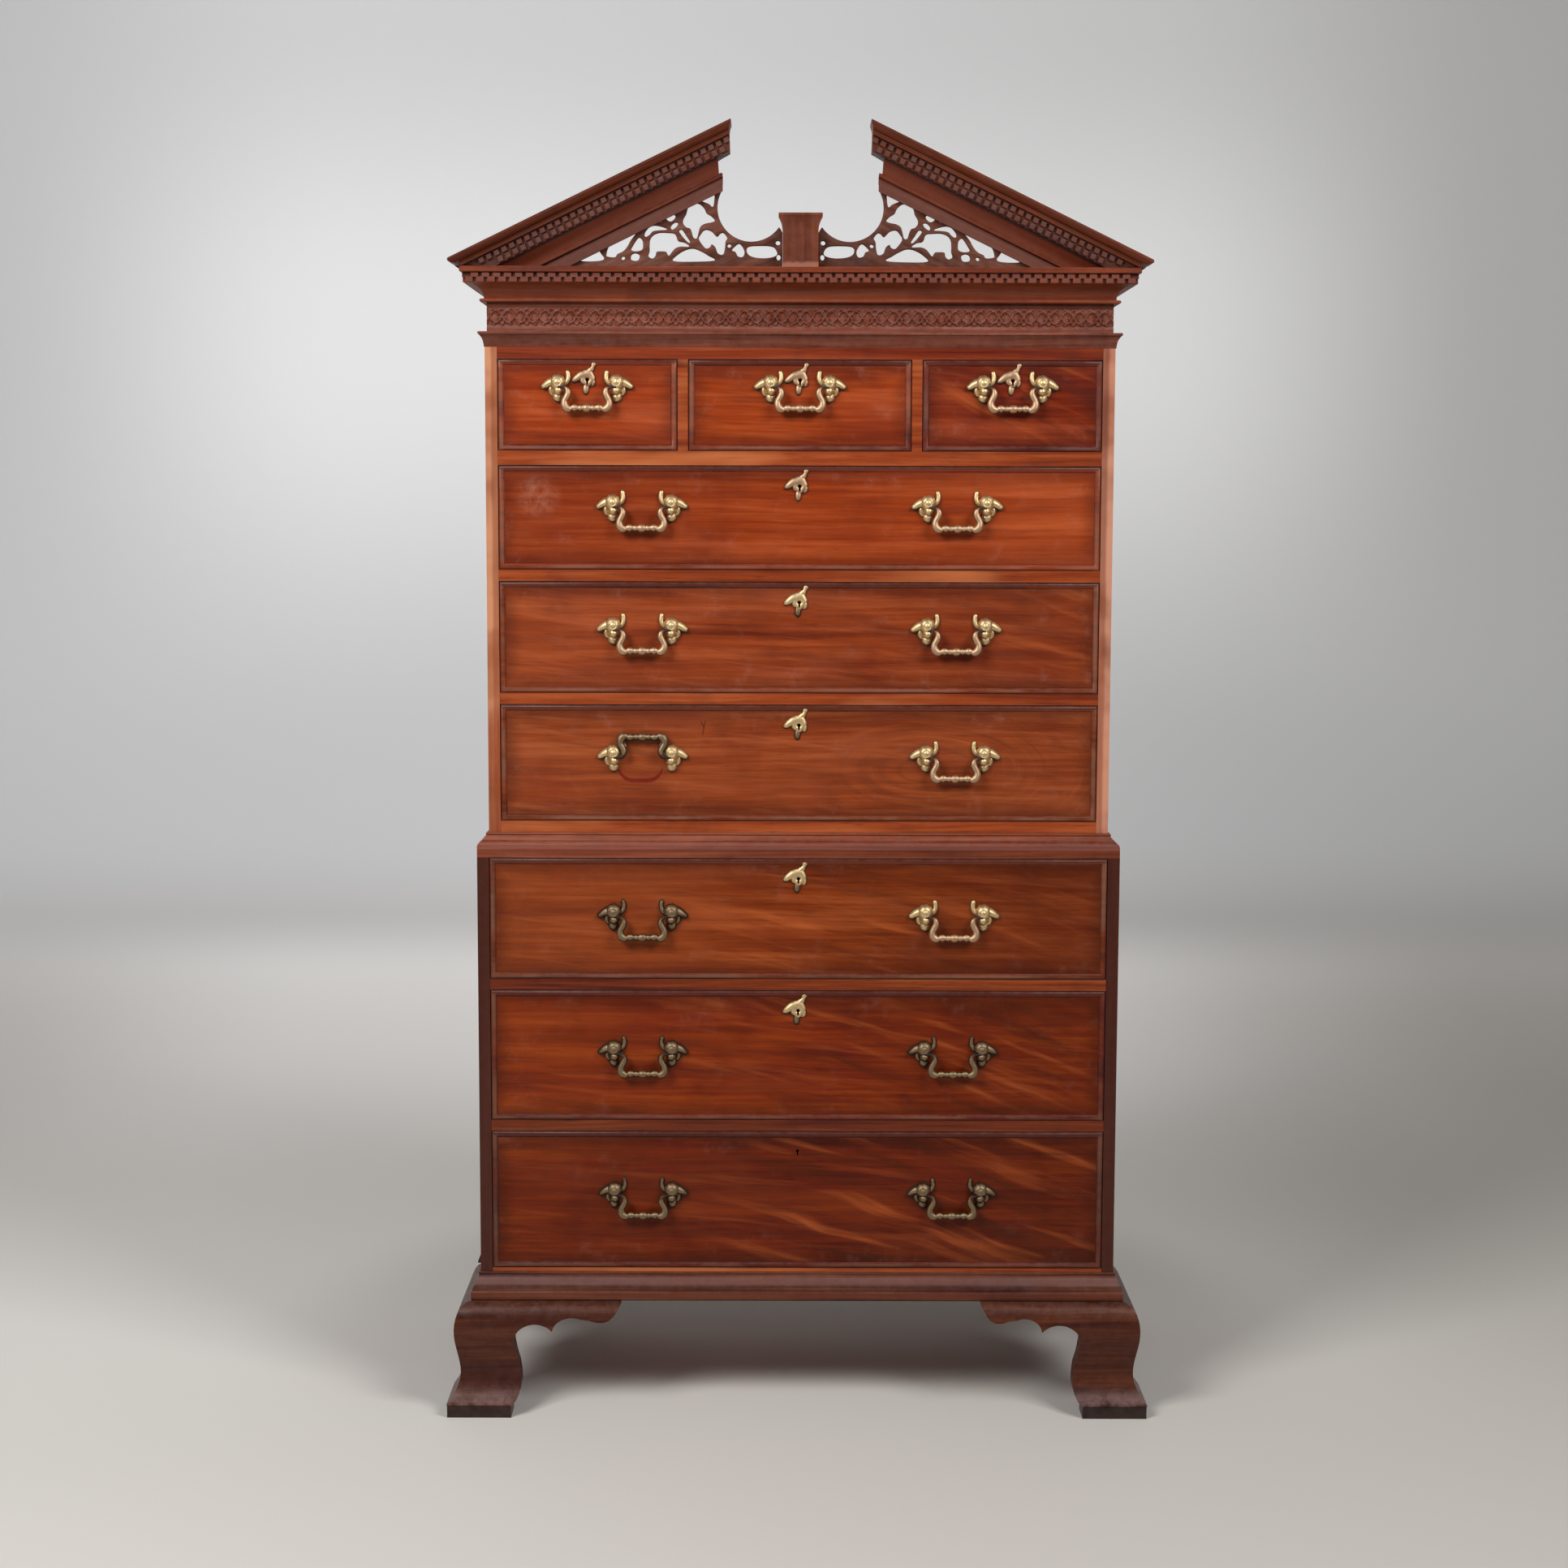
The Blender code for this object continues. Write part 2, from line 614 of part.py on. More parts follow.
def rake_levels():
    """The raking cornice's section: depth below the top line, reach, set-in of its inner end."""
    eave = EAVE_REACH
    ground = DENTIL_GROUND
    step = FRET_DEPTH_ON_RAKE
    cove = [(0.046 + 0.020 * t, 0.022 - 0.014 * math.sin(t * math.pi / 2), 0.0225 - 0.0015 * t)
            for t in (0, 0.25, 0.55, 1)]
    return [
        (0.0000, eave, 0.0000), (0.0030, eave, 0.0000), (0.0045, eave - 0.0025, 0.0010),
        (0.0080, eave - 0.0045, 0.0020), (0.0110, eave - 0.0090, 0.0030), (0.0125, eave - 0.0140, 0.0030),
        (0.0130, CORNICE_REACH, 0.0030), (0.0150, CORNICE_REACH, 0.0030), (0.0155, ground, 0.0030),
        (0.0435, ground, 0.0020), (0.0440, 0.0230, 0.0120),
    ] + cove + [
        (0.0680, 0.0120, 0.0150), (0.0730, 0.0120, 0.0145), (0.0755, 0.0070, 0.0145),
        (step - GAP, 0.0070, 0.0145), (step, 0.0070, 0.0145), (step + 0.0115, 0.0070, 0.0145),
    ]


def raking_cornice(side, word):
    """One slope of the pediment, with a rebate behind its foot for the fret board."""
    name = "pediment_" + word + "_rake"
    rings = []
    for depth, reach, inset in rake_levels():
        inner = RAKE_INNER_X + inset
        outer = frieze_half + reach
        front = frieze_front - reach
        rear = frieze_front + FRET_BOARD if depth < FRET_DEPTH_ON_RAKE else frieze_front - GAP
        drop = rake_drop(depth)
        corners = ((inner, front), (outer, front), (outer, rear), (inner, rear))
        rings.append([(side * x, y, rake_top(x) - drop) for x, y in corners])
    made = place(name, loft_mesh(name, rings), dark_mahogany())
    wide = frieze_half + EAVE_REACH + 0.05
    low = (-wide, frieze_front - 0.2, cornice_top - 0.3)
    high = (wide, frieze_front + 0.2, cornice_top + GAP)
    combine(made, board(name + "_foot_cut", low, high, None, cutters), "DIFFERENCE")
    smooth(made)


def fret_piercings():
    """The sawn openings of one fret board, in divisions from the centre line and above the cornice."""
    return [
        [(332, 15), (337, 24), (342, 30), (350, 25), (362, 19), (370, 13), (350, 12)],
        [(278, 59), (289, 57), (301, 50), (313, 44), (323, 36), (327, 24), (325, 20), (313, 19), (309, 24),
         (299, 29), (292, 37), (287, 46), (281, 54)],
        [(267, 46), (272, 51), (277, 46), (282, 38), (285, 31), (276, 29), (267, 32), (266, 40)],
        [(272, 22), (279, 25), (285, 22), (285, 15), (278, 13), (273, 15)],
        arc((299, 17), (3, 3), 0, 300, 5),
        [(212, 57), (224, 59), (238, 59), (248, 55), (253, 48), (254, 38), (254, 29), (256, 21), (250, 17),
         (245, 21), (243, 28), (234, 29), (226, 28), (222, 22), (217, 28), (211, 34), (202, 37), (188, 37),
         (196, 43), (207, 46)],
        [(225, 65), (234, 69), (246, 71), (255, 68), (262, 59), (261, 53), (255, 56), (249, 62), (238, 64)],
        arc((237, 81), (4, 4), 0, 300, 5),
        [(211, 86), (218, 91), (226, 86), (223, 80), (217, 79)],
        [(207, 75), (212, 76), (218, 70), (216, 65), (209, 70)],
        [(200, 64), (204, 62), (197, 52), (189, 44), (187, 45), (193, 54)],
        [(145, 80), (151, 87), (159, 92), (163, 100), (171, 107), (181, 107), (189, 101), (192, 91), (197, 82),
         (197, 75), (192, 69), (186, 67), (183, 62), (180, 52), (175, 51), (172, 62), (169, 70), (161, 75),
         (151, 77)],
        [(146, 123), (153, 124), (161, 120), (168, 114), (160, 110), (153, 107), (148, 103), (146, 113)],
        [(124, 51), (130, 59), (135, 58), (141, 53), (151, 62), (161, 64), (167, 58), (171, 50), (165, 40),
         (159, 34), (153, 36), (150, 41), (143, 36), (139, 26), (131, 24), (128, 34), (127, 45)],
        [(145, 14), (155, 21), (167, 28), (181, 33), (195, 30), (208, 22), (214, 13), (179, 12)],
        arc((120, 38), (3, 3), 0, 300, 5),
        [(97, 34), (103, 41), (109, 38), (115, 31), (109, 28), (105, 21), (98, 20), (95, 26)],
        [(42, 32), (49, 37), (68, 38), (88, 36), (89, 26), (80, 20), (62, 18), (47, 20), (40, 24)],
        arc((38, 43), (4, 4), 0, 300, 5),
        arc((37, 19), (3.5, 5), 0, 300, 5),
    ]


def fret_edge(x):
    """Height above the cornice of the fret board's sloping edge, which lies under the raking cornice."""
    return rake_top(x) - rake_drop(FRET_DEPTH_ON_RAKE + GAP) - cornice_top


def fret_reach():
    """Distance from the centre line to the point where the fret board's sloping edge meets its foot."""
    return (fret_edge(0.0) - GAP) / rake_slope


def fret_place(x, z):
    """Where a point of the drawing falls: beyond the hoop it follows the board's length and height."""
    beyond = x * FRET_UNIT - FRET_CORNER_X
    rise = z * FRET_UNIT
    if beyond > 0:
        blend = min(1.0, beyond / FRET_BLEND)
        rise *= 1 + blend * (fret_edge(FRET_CORNER_X) / FRET_DRAWN_HEIGHT - 1)
        beyond *= (fret_reach() - FRET_CORNER_X) / (FRET_DRAWN_REACH - FRET_CORNER_X)
    return (FRET_CORNER_X + beyond, cornice_top + rise)


def fret_outline():
    """The edge of one fret board: level foot, rake, and the hoop that sweeps down to the plinth block."""
    foot = cornice_top + GAP
    hoop = arc((-HOOP_X, cornice_top + HOOP_RISE), (HOOP_RADIUS, HOOP_RADIUS), 153, 325, CURVE_STEPS)
    near = PLINTH_HALF + GAP
    curl = [(near + 0.003, hoop[-1][1] - 0.004), (near, hoop[-1][1] - 0.009)]
    edge = [(fret_reach(), foot), (FRET_CORNER_X, cornice_top + fret_edge(FRET_CORNER_X))]
    edge += [(-x, z) for x, z in hoop]
    return edge + curl + [(near, foot)]


def fret(side, word):
    """One pierced tympanum board: leafy scrolls and a hoop, sawn from a thin board."""
    name = "pediment_" + word + "_fret"
    outlines = [fret_outline()]
    for piercing in fret_piercings():
        outlines.append([fret_place(x, z) for x, z in piercing])
    outlines = [[(side * x, z) for x, z in outline] for outline in outlines]
    mesh = upright(name, outlines, frieze_front, frieze_front + FRET_BOARD)
    place(name, mesh, dark_mahogany())


def plinth():
    """The block between the frets, with a flared cap, for a bust or an urn."""
    z = cornice_top + GAP
    top = cornice_top + PLINTH_HEIGHT
    flare = PLINTH_CAP_HALF - PLINTH_HALF
    levels = [(0.0, z), (0.0, top - 0.030), (0.06 * flare, top - 0.024), (0.24 * flare, top - 0.015),
              (0.55 * flare, top - 0.009), (flare, top - 0.004), (flare, top)]
    rings = []
    for out, height in levels:
        half = PLINTH_HALF + out
        front = frieze_front - PLINTH_REACH - out
        rear = frieze_front + FRET_BOARD
        corners = ((-half, front), (half, front), (half, rear), (-half, rear))
        rings.append([(x, y, height) for x, y in corners])
    smooth(place("pediment_plinth", loft_mesh("pediment_plinth", rings), dark_mahogany()))


# Drawers

def openings():
    """Every drawer opening: name, left, right, floor, top, front plane, handle places and handle height."""
    found = []
    inner_edge = PARTITION_X - PARTITION / 2
    outer_edge = PARTITION_X + PARTITION / 2
    spans = ((-upper_inner, -outer_edge), (-inner_edge, inner_edge), (outer_edge, upper_inner))
    for name, (left, right) in zip(TOP_ROW, spans):
        handles = ((name, (left + right) / 2),)
        pivot = top_row_top - TOP_ROW_DROP
        found.append((name, left, right, top_row_floor, top_row_top, upper_front, handles, pivot))
    upper = (UPPER_DRAWERS, upper_long_top, upper_inner, upper_front)
    lower = (LOWER_DRAWERS, waist, lower_inner, lower_front)
    for drawers, top, half, front in (upper, lower):
        for name, height, drop in drawers:
            handles = ((name + "_left", -LONG_HANDLE_X), (name + "_right", LONG_HANDLE_X))
            found.append((name, -half, half, top - height, top, front, handles, top - drop))
            top -= height + BOARD
    return found


def front_mesh(name, low, high, front):
    """A drawer front with a rounded cock bead round its edge. low and high are (x, z) corners."""
    levels = [(0.0, FRONT), (0.0, 0.0), (0.0008, -0.65 * BEAD_REACH), (0.3 * BEAD_WIDTH, -BEAD_REACH),
              (0.7 * BEAD_WIDTH, -BEAD_REACH), (0.93 * BEAD_WIDTH, -0.6 * BEAD_REACH), (BEAD_WIDTH, 0.0)]
    rings = []
    for inset, y in levels:
        left, bottom = low[0] + inset, low[1] + inset
        right, top = high[0] - inset, high[1] - inset
        rings.append([(left, front + y, bottom), (right, front + y, bottom), (right, front + y, top),
                      (left, front + y, top)])
    return loft_mesh(name, rings)


def keyhole_outline():
    """A round eye over a slot, about the eye's middle."""
    half = 0.45 * KEYHOLE_RADIUS
    eye = arc((0, 0), (KEYHOLE_RADIUS, KEYHOLE_RADIUS), -60, 240, 6)
    return eye + [(-half, -KEYHOLE_SLOT), (half, -KEYHOLE_SLOT)]


def escutcheon_outline():
    """A lopsided leafy plate round the keyhole: a curl at top right, a beak at left, a drop below."""
    points = [(8, 17), (9, 29), (14, 32), (19, 27), (14, 12), (13, -6), (7, -12), (1, -13), (0, -26),
              (-7, -26), (-8, -9), (-23, -5), (-23, 2), (-12, 12), (-4, 20)]
    return [(x * LEAF_UNIT, z * LEAF_UNIT) for x, z in points]


def mount_outline(side):
    """A handle's leafy back plate about its boss: a beak outwards, a curl up the inside and a drop below."""
    points = [(-13, 6), (-5, 14), (9, 13), (13, 23), (19, 25), (20, 14), (13, 3), (13, -10), (3, -14), (1, -29),
              (-8, -30), (-12, -11), (-26, -13), (-27, -7)]
    return [(-side * x * LEAF_UNIT, BOSS_RISE + z * LEAF_UNIT) for x, z in points]


def boss_mesh(name):
    """A turned boss about its own axis, from a hidden root inside the wood to a rounded crown."""
    radii = ((0.90, -0.6 * EMBED), (1.0, 0.35 * BOSS_HEIGHT), (0.78, 0.75 * BOSS_HEIGHT), (0.32, BOSS_HEIGHT))
    rings = []
    for share, reach in radii:
        ring = arc((0, 0), (share * BOSS_RADIUS, share * BOSS_RADIUS), 22.5, 337.5, 7)
        rings.append([(x, -reach, BOSS_RISE + z) for x, z in ring])
    return loft_mesh(name, rings)


def pin_hole_mesh(name, side):
    """The blind hole across a boss, from its inner side, that a bail's pin turns in."""
    bm = bmesh.new()
    length = 0.0125
    turn = Matrix.Rotation(math.radians(90), 4, "Y")
    place_at = Matrix.Translation((-side * (length / 2 - 0.0015), -PIVOT_REACH, 0))
    radius = (PIN_RADIUS + PIN_CLEAR) / math.cos(math.pi / 8)
    bmesh.ops.create_cone(bm, cap_ends=True, segments=8, radius1=radius, radius2=radius, depth=length,
                          matrix=place_at @ turn)
    return mesh_from(name, bm)


def handle_mount(side, word):
    """Boss and plate of one end of a handle, as a mesh that every handle shares."""
    name = "mount_" + word
    plate = upright(name, [mount_outline(side)], -PLATE, EMBED)
    made = place(name, plate, None, cutters)
    boss = place(name + "_boss", boss_mesh(name + "_boss"), None, cutters)
    hole = place(name + "_pin_hole", pin_hole_mesh(name + "_pin_hole", side), None, cutters)
    combine(made, boss, "UNION")
    combine(made, hole, "DIFFERENCE")
    graph = bpy.context.evaluated_depsgraph_get()
    mesh = bpy.data.meshes.new_from_object(made.evaluated_get(graph))
    return mesh


def drawer_front(opening, mounts):
    """A drawer front with its cock bead, handle mounts and escutcheon."""
    key, left, right, floor, top, front, handles, pivot = opening
    low = (left + DRAWER_CLEAR, floor + GAP)
    high = (right - DRAWER_CLEAR, top - DRAWER_CLEAR)
    name = key + "_front"
    made = place(name, front_mesh(name, low, high, front), drawer_mahogany())
    for handle, x in handles:
        for side, word in ((-1, "left"), (1, "right")):
            tool = place(handle + "_mount_" + word, mounts[side], None, cutters)
            tool.location = (x + side * BOSS_X, front, pivot)
            combine(made, tool, "UNION")
    middle = handles[0][1] if key in TOP_ROW else 0.0
    eye = top - KEYHOLE_DROP
    if key != BARE_KEYHOLE:
        plate = upright(key + "_escutcheon", [escutcheon_outline()], -0.8 * PLATE, EMBED)
        tool = place(key + "_escutcheon", plate, None, cutters)
        tool.location = (middle, front, eye)
        combine(made, tool, "UNION")
    hole = upright(key + "_keyhole", [keyhole_outline()], -2 * PLATE, KEYHOLE_DEPTH)
    tool = place(key + "_keyhole", hole, None, cutters)
    tool.location = (middle, front, eye)
    combine(made, tool, "DIFFERENCE")


def drawer_box(opening):
    """A drawer's sides, back and bottom, open at the top and against the front."""
    key, left, right, floor, top, front = opening[:6]
    name = key + "_box"
    side_clear = DRAWER_CLEAR + GAP
    low = (left + side_clear, front + FRONT + GAP, floor + GAP)
    high = (right - side_clear, panel_front - STOP_CLEAR, top - BOX_TOP_CLEAR)
    made = board(name, low, high, drawer_lining())
    inner_low = (low[0] + BOX_WALL, low[1] - EMBED, low[2] + BOX_BOTTOM)
    inner_high = (high[0] - BOX_WALL, high[1] - BOX_WALL, high[2] + EMBED)
    combine(made, board(name + "_inside", inner_low, inner_high, None, cutters), "DIFFERENCE")


# Bails

def bail_curve():
    """The swan-necked bail about its own axis, hanging: pins, knuckles, and a bulb in the middle."""
    end = -BOSS_X
    half = [
        (end, 0.0, PIN_RADIUS), (end + 0.0135, 0.0, PIN_RADIUS), (end + 0.0175, -0.0035, 0.0032),
        (end + 0.0168, -0.0130, 0.0046), (end + 0.0122, -0.0250, 0.0038), (end + 0.0125, -0.0345, 0.0043),
        (end + 0.0178, -0.0400, 0.0041), (-0.0240, -0.0378, 0.0031), (-0.0190, -0.0375, 0.0042),
        (-0.0130, -0.0380, 0.0030), (-0.0040, -0.0382, 0.0049),
    ]
    points = half + [(-x, z, radius) for x, z, radius in reversed(half)]
    curve = bpy.data.curves.new("bail", "CURVE")
    curve.dimensions = "3D"
    curve.bevel_depth = 1.0
    curve.bevel_resolution = 1
    curve.use_fill_caps = True
    spline = curve.splines.new("POLY")
    spline.points.add(len(points) - 1)
    for point, (x, z, radius) in zip(spline.points, points):
        point.co = (x, 0.0, z, 1.0)
        point.radius = radius
    spline.use_smooth = True
    curve.materials.append(brass())
    return curve


def bails(all_openings):
    """One bail for each handle, with its origin on its hinge's axis."""
    curve = bail_curve()
    for key, left, right, floor, top, front, handles, pivot in all_openings:
        for handle, x in handles:
            made = place(handle + "_bail", curve, None)
            made.location = (x, front - PIVOT_REACH, pivot)
            if handle == RAISED_BAIL:
                made.rotation_euler = (-math.radians(180 + BAIL_LEAN), 0, 0)


def build():
    clear_scene()
    chest_sides()
    boards_and_backs()
    rails()
    lower_top()
    base_moulding()
    for side, word in ((-1, "left"), (1, "right")):
        front_foot(side, word)
        rear_foot(side, word)
        raking_cornice(side, word)
        fret(side, word)
    frieze()
    cornice()
    plinth()
    mounts = {side: handle_mount(side, word) for side, word in ((-1, "left"), (1, "right"))}
    found = openings()
    for opening in found:
        drawer_front(opening, mounts)
        drawer_box(opening)
    bails(found)


build()
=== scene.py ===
# %% [markdown]
# # A mahogany chest-on-chest with a broken pediment
# The packed model is the joiner's drawing made solid: every board and drawer is already in its place, and
# every drawer and bail is already on its joint. This lesson dresses it. First come the tools for shapes
# and finishes, then the timber, the brass, the mouldings, the carving and the feet, and last the room and
# the light.

# %% Load the packed chest
import math

import bmesh
import bpy
import numpy as np
from mathutils import Matrix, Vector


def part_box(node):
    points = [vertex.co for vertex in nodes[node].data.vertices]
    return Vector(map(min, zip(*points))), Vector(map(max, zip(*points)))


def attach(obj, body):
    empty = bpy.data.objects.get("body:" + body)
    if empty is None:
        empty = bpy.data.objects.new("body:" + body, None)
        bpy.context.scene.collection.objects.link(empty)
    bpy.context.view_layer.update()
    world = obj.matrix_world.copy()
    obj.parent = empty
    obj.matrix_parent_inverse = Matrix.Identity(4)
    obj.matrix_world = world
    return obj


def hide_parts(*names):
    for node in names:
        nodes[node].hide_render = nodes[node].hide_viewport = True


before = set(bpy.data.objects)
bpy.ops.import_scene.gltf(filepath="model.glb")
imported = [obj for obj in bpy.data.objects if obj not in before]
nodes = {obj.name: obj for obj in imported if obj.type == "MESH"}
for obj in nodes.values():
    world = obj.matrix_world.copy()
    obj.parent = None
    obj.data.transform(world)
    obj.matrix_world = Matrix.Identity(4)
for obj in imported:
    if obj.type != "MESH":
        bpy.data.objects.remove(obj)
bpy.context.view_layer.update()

# %% [markdown]
# ## The joiner's rod
# A cabinetmaker marks every height and width full size on one board, the rod, and takes every piece from
# it. These are the marks, in metres. x runs to the right, y away from us, and z up from the floor.

# %% Heights, widths and faces
GAP = 0.0003
LOWER_HALF, UPPER_HALF, FRIEZE_HALF = 0.5522, 0.5332, 0.5298
LOWER_FRONT, UPPER_FRONT, FRIEZE_FRONT, BACK = -0.24685, -0.22785, -0.22315, 0.30315
FOOT_TOP, LOWER_BOTTOM = 0.197, 0.2325
WAIST, WAIST_TOP = 0.9734, 0.9929
TOP_ROW_TOP, NECK, NECK_TOP, CORNICE_BOTTOM, CORNICE_TOP = 1.8215, 1.8411, 1.8665, 1.9155, 1.9728
NECK_REACH, CORNICE_REACH, DENTIL_GROUND, EAVE_REACH = 0.0143, 0.0410, 0.0325, 0.0585

DRAWERS = {
    # name: where its handles are along x, height of the bails' pins, height of the keyhole
    "short_left": ((-0.35998,), 1.7737, 1.7865),
    "short_middle": ((0.0,), 1.7737, 1.7865),
    "short_right": ((0.35998,), 1.7737, 1.7865),
    "long_1": ((-0.268, 0.268), 1.5722, 1.6082),
    "long_2": ((-0.268, 0.268), 1.3637, 1.4115),
    "long_3": ((-0.268, 0.268), 1.1457, 1.2012),
    "long_4": ((-0.268, 0.268), 0.8726, 0.9384),
    "long_5": ((-0.268, 0.268), 0.6341, 0.7084),
    "long_6": ((-0.268, 0.268), 0.3841, 0.4604),
}


def front_of(drawer):
    """The plane of a drawer's front: the upper chest's, or the lower chest's for the last three."""
    return LOWER_FRONT if drawer in ("long_4", "long_5", "long_6") else UPPER_FRONT


def handles_of(drawer):
    """The names and places of a drawer's handles: one in the middle, or a left and a right one."""
    places = DRAWERS[drawer][0]
    names = (drawer,) if len(places) == 1 else (drawer + "_left", drawer + "_right")
    return list(zip(names, places))


def keyhole_x(drawer):
    """The keyhole is over the only handle, or in the chest's middle."""
    places = DRAWERS[drawer][0]
    return places[0] if len(places) == 1 else 0.0


print("drawers", len(DRAWERS), "handles", sum(len(handles_of(d)) for d in DRAWERS))

# %% [markdown]
# ## The camera
# The picture was taken from about 4.5 m in front of the chest and a little above its middle, with the lens
# pointed slightly down. Yaw, pitch and roll are turned into three directions at right angles to each
# other: right, up and back. These are the columns of the camera's matrix, because a Blender camera looks
# along its own -Z.

# %% Camera
yaw, pitch, roll = math.radians(0.142), math.radians(6.064), math.radians(0.162)
ahead = np.array([math.sin(yaw) * math.cos(pitch), math.cos(yaw) * math.cos(pitch), -math.sin(pitch)])
level = np.array([math.cos(yaw), -math.sin(yaw), 0.0])
over = np.cross(level, ahead)
right = math.cos(roll) * level + math.sin(roll) * over
up = -math.sin(roll) * level + math.cos(roll) * over
camera = bpy.data.objects.new("camera", bpy.data.cameras.new("camera"))
bpy.context.scene.collection.objects.link(camera)
camera.data.sensor_width = 36.0
camera.data.lens = 3210 / 1932 * 36.0
turn = np.eye(4)
turn[:3, 0], turn[:3, 1], turn[:3, 2], turn[:3, 3] = right, up, -ahead, (-0.0363, -4.6831, 1.5729)
camera.matrix_world = Matrix(turn.tolist())
bpy.context.scene.camera = camera
bpy.context.scene.view_settings.view_transform = "Standard"
print("lens", round(camera.data.lens, 2), "mm")

# %% [markdown]
# ## Tools for shapes
# Every new piece is a closed solid: an array of points, and faces that name the points by number. `net`
# joins a grid of points with quads, `skin` closes a stack of rings with a face over each end, and
# `outward` checks which way the faces look. It adds up the signed volumes of the little pyramids between
# each face and the origin: the sum is negative when the solid is inside out, and then every face is turned
# round.

# %% Grids, rings and solids
def net(rows, columns, round_columns=True):
    """Quads between the neighbours of a grid of points that are numbered row by row."""
    last = columns if round_columns else columns - 1
    i, j = (a.ravel() for a in np.meshgrid(np.arange(rows - 1), np.arange(last), indexing="ij"))
    along = (j + 1) % columns
    low, high = i * columns, (i + 1) * columns
    return np.stack([low + j, low + along, high + along, high + j], 1)


def outward(points, groups):
    """The same solid, faces out. Its volume is the sum of a . (b x c) / 6 over its triangles."""
    volume = 0.0
    for faces, tint in groups:
        corner = points[faces]
        for k in range(1, faces.shape[1] - 1):
            volume += np.einsum("ij,ij->", corner[:, 0], np.cross(corner[:, k], corner[:, k + 1])) / 6
    if volume < 0:
        groups = [(faces[:, ::-1], tint) for faces, tint in groups]
    return points, groups


def skin(rows, tint=0, tints=None):
    """A solid from a stack of rings (rings, points, 3): quads between them, one face over each end."""
    count, around = rows.shape[:2]
    quads = net(count, around).reshape(count - 1, around, 4)
    ends = np.arange(around)
    kinds = [tint] * (count - 1) if tints is None else tints
    groups = [(quads[i], kinds[i]) for i in range(count - 1)]
    groups += [(ends[None, ::-1], kinds[0]), (ends[None, :] + (count - 1) * around, kinds[-1])]
    return outward(rows.reshape(-1, 3), groups)


def block(low, high, tint=0):
    """A plain board between two corners."""
    (x0, y0, z0), (x1, y1, z1) = low, high
    ring = np.array([(x0, y0), (x1, y0), (x1, y1), (x0, y1)])
    return skin(np.stack([np.column_stack([ring, np.full(4, z)]) for z in (z0, z1)]), tint)


print("a block has", len(block((0, 0, 0), (1, 1, 1))[0]), "points")

# %% [markdown]
# A piece may be several solids, such as a moulding and its dentils. `make` numbers their points through,
# makes one mesh of them, and gives every face its finish by number. It then says which body the piece rides
# on, and which plain nodes of the packed model it stands for.

# %% One object from its solids
def make(name, solids, finishes, body, stands_for=(), sharp=32.0):
    """One object from solids that share it, riding on a body. Edges sharper than the angle stay crisp."""
    starts = np.cumsum([0] + [len(points) for points, _ in solids])
    groups = [(faces + start, tint) for (_, found), start in zip(solids, starts) for faces, tint in found]
    mesh = bpy.data.meshes.new(name)
    faces = [face for rows, _ in groups for face in rows.tolist()]
    mesh.from_pydata(np.concatenate([points for points, _ in solids]).tolist(), [], faces)
    tints = np.concatenate([np.full(len(rows), tint) for rows, tint in groups]).astype(np.int32)
    for finish in finishes:
        mesh.materials.append(finish)
    mesh.polygons.foreach_set("material_index", tints)
    mesh.polygons.foreach_set("use_smooth", np.ones(len(tints), dtype=bool))
    mesh.set_sharp_from_angle(angle=math.radians(sharp))
    thing = bpy.data.objects.new(name, mesh)
    bpy.context.scene.collection.objects.link(thing)
    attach(thing, body)
    if stands_for:
        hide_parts(*stands_for)
    print(name, "points", len(mesh.vertices), "faces", len(faces))
    return thing


# %% [markdown]
# A curve that was sketched as a few knots becomes smooth with Catmull-Rom spans: each span is the cubic
# that passes through its two knots, with end slopes of half the step between the knots on either side. A
# knot may carry more than its place, such as a width and a height, and everything is smoothed together.

# %% Smooth lines and arcs
def through(knots, steps=6):
    """The smooth line through the knots, with that many steps in each span. Columns may be anything."""
    k = np.asarray(knots, float)
    a = np.vstack([2 * k[0] - k[1], k, 2 * k[-1] - k[-2]])
    t = np.linspace(0, 1, steps, endpoint=False)[:, None, None]
    p, q, r, s = a[:-3], a[1:-2], a[2:-1], a[3:]
    spans = 0.5 * (2 * q + (r - p) * t + (2 * p - 5 * q + 4 * r - s) * t**2 + (3 * q - p - 3 * r + s) * t**3)
    return np.vstack([spans.transpose(1, 0, 2).reshape(-1, k.shape[1]), k[-1:]])


def arc(centre, radii, start, end, steps):
    """Points on an ellipse, (centre + radii * (cos t, sin t)), with t from start to end in degrees."""
    t = np.radians(np.linspace(start, end, steps + 1))
    return np.column_stack([centre[0] + radii[0] * np.cos(t), centre[1] + radii[1] * np.sin(t)])


print("a smooth line through 3 knots:", through([(0, 0), (1, 1), (2, 0)], 2).round(3).tolist())

# %% [markdown]
# ## Tools for finishes
# A finish is a small network of nodes. To read it as arithmetic, `Wire` wraps a node's output so that
# Python's own signs add Math nodes: `1 - mask` or `0.3 * grain + 0.1`. `Finish.node` is the one way to add
# any other node: its type, then its settings, then what goes into its sockets.

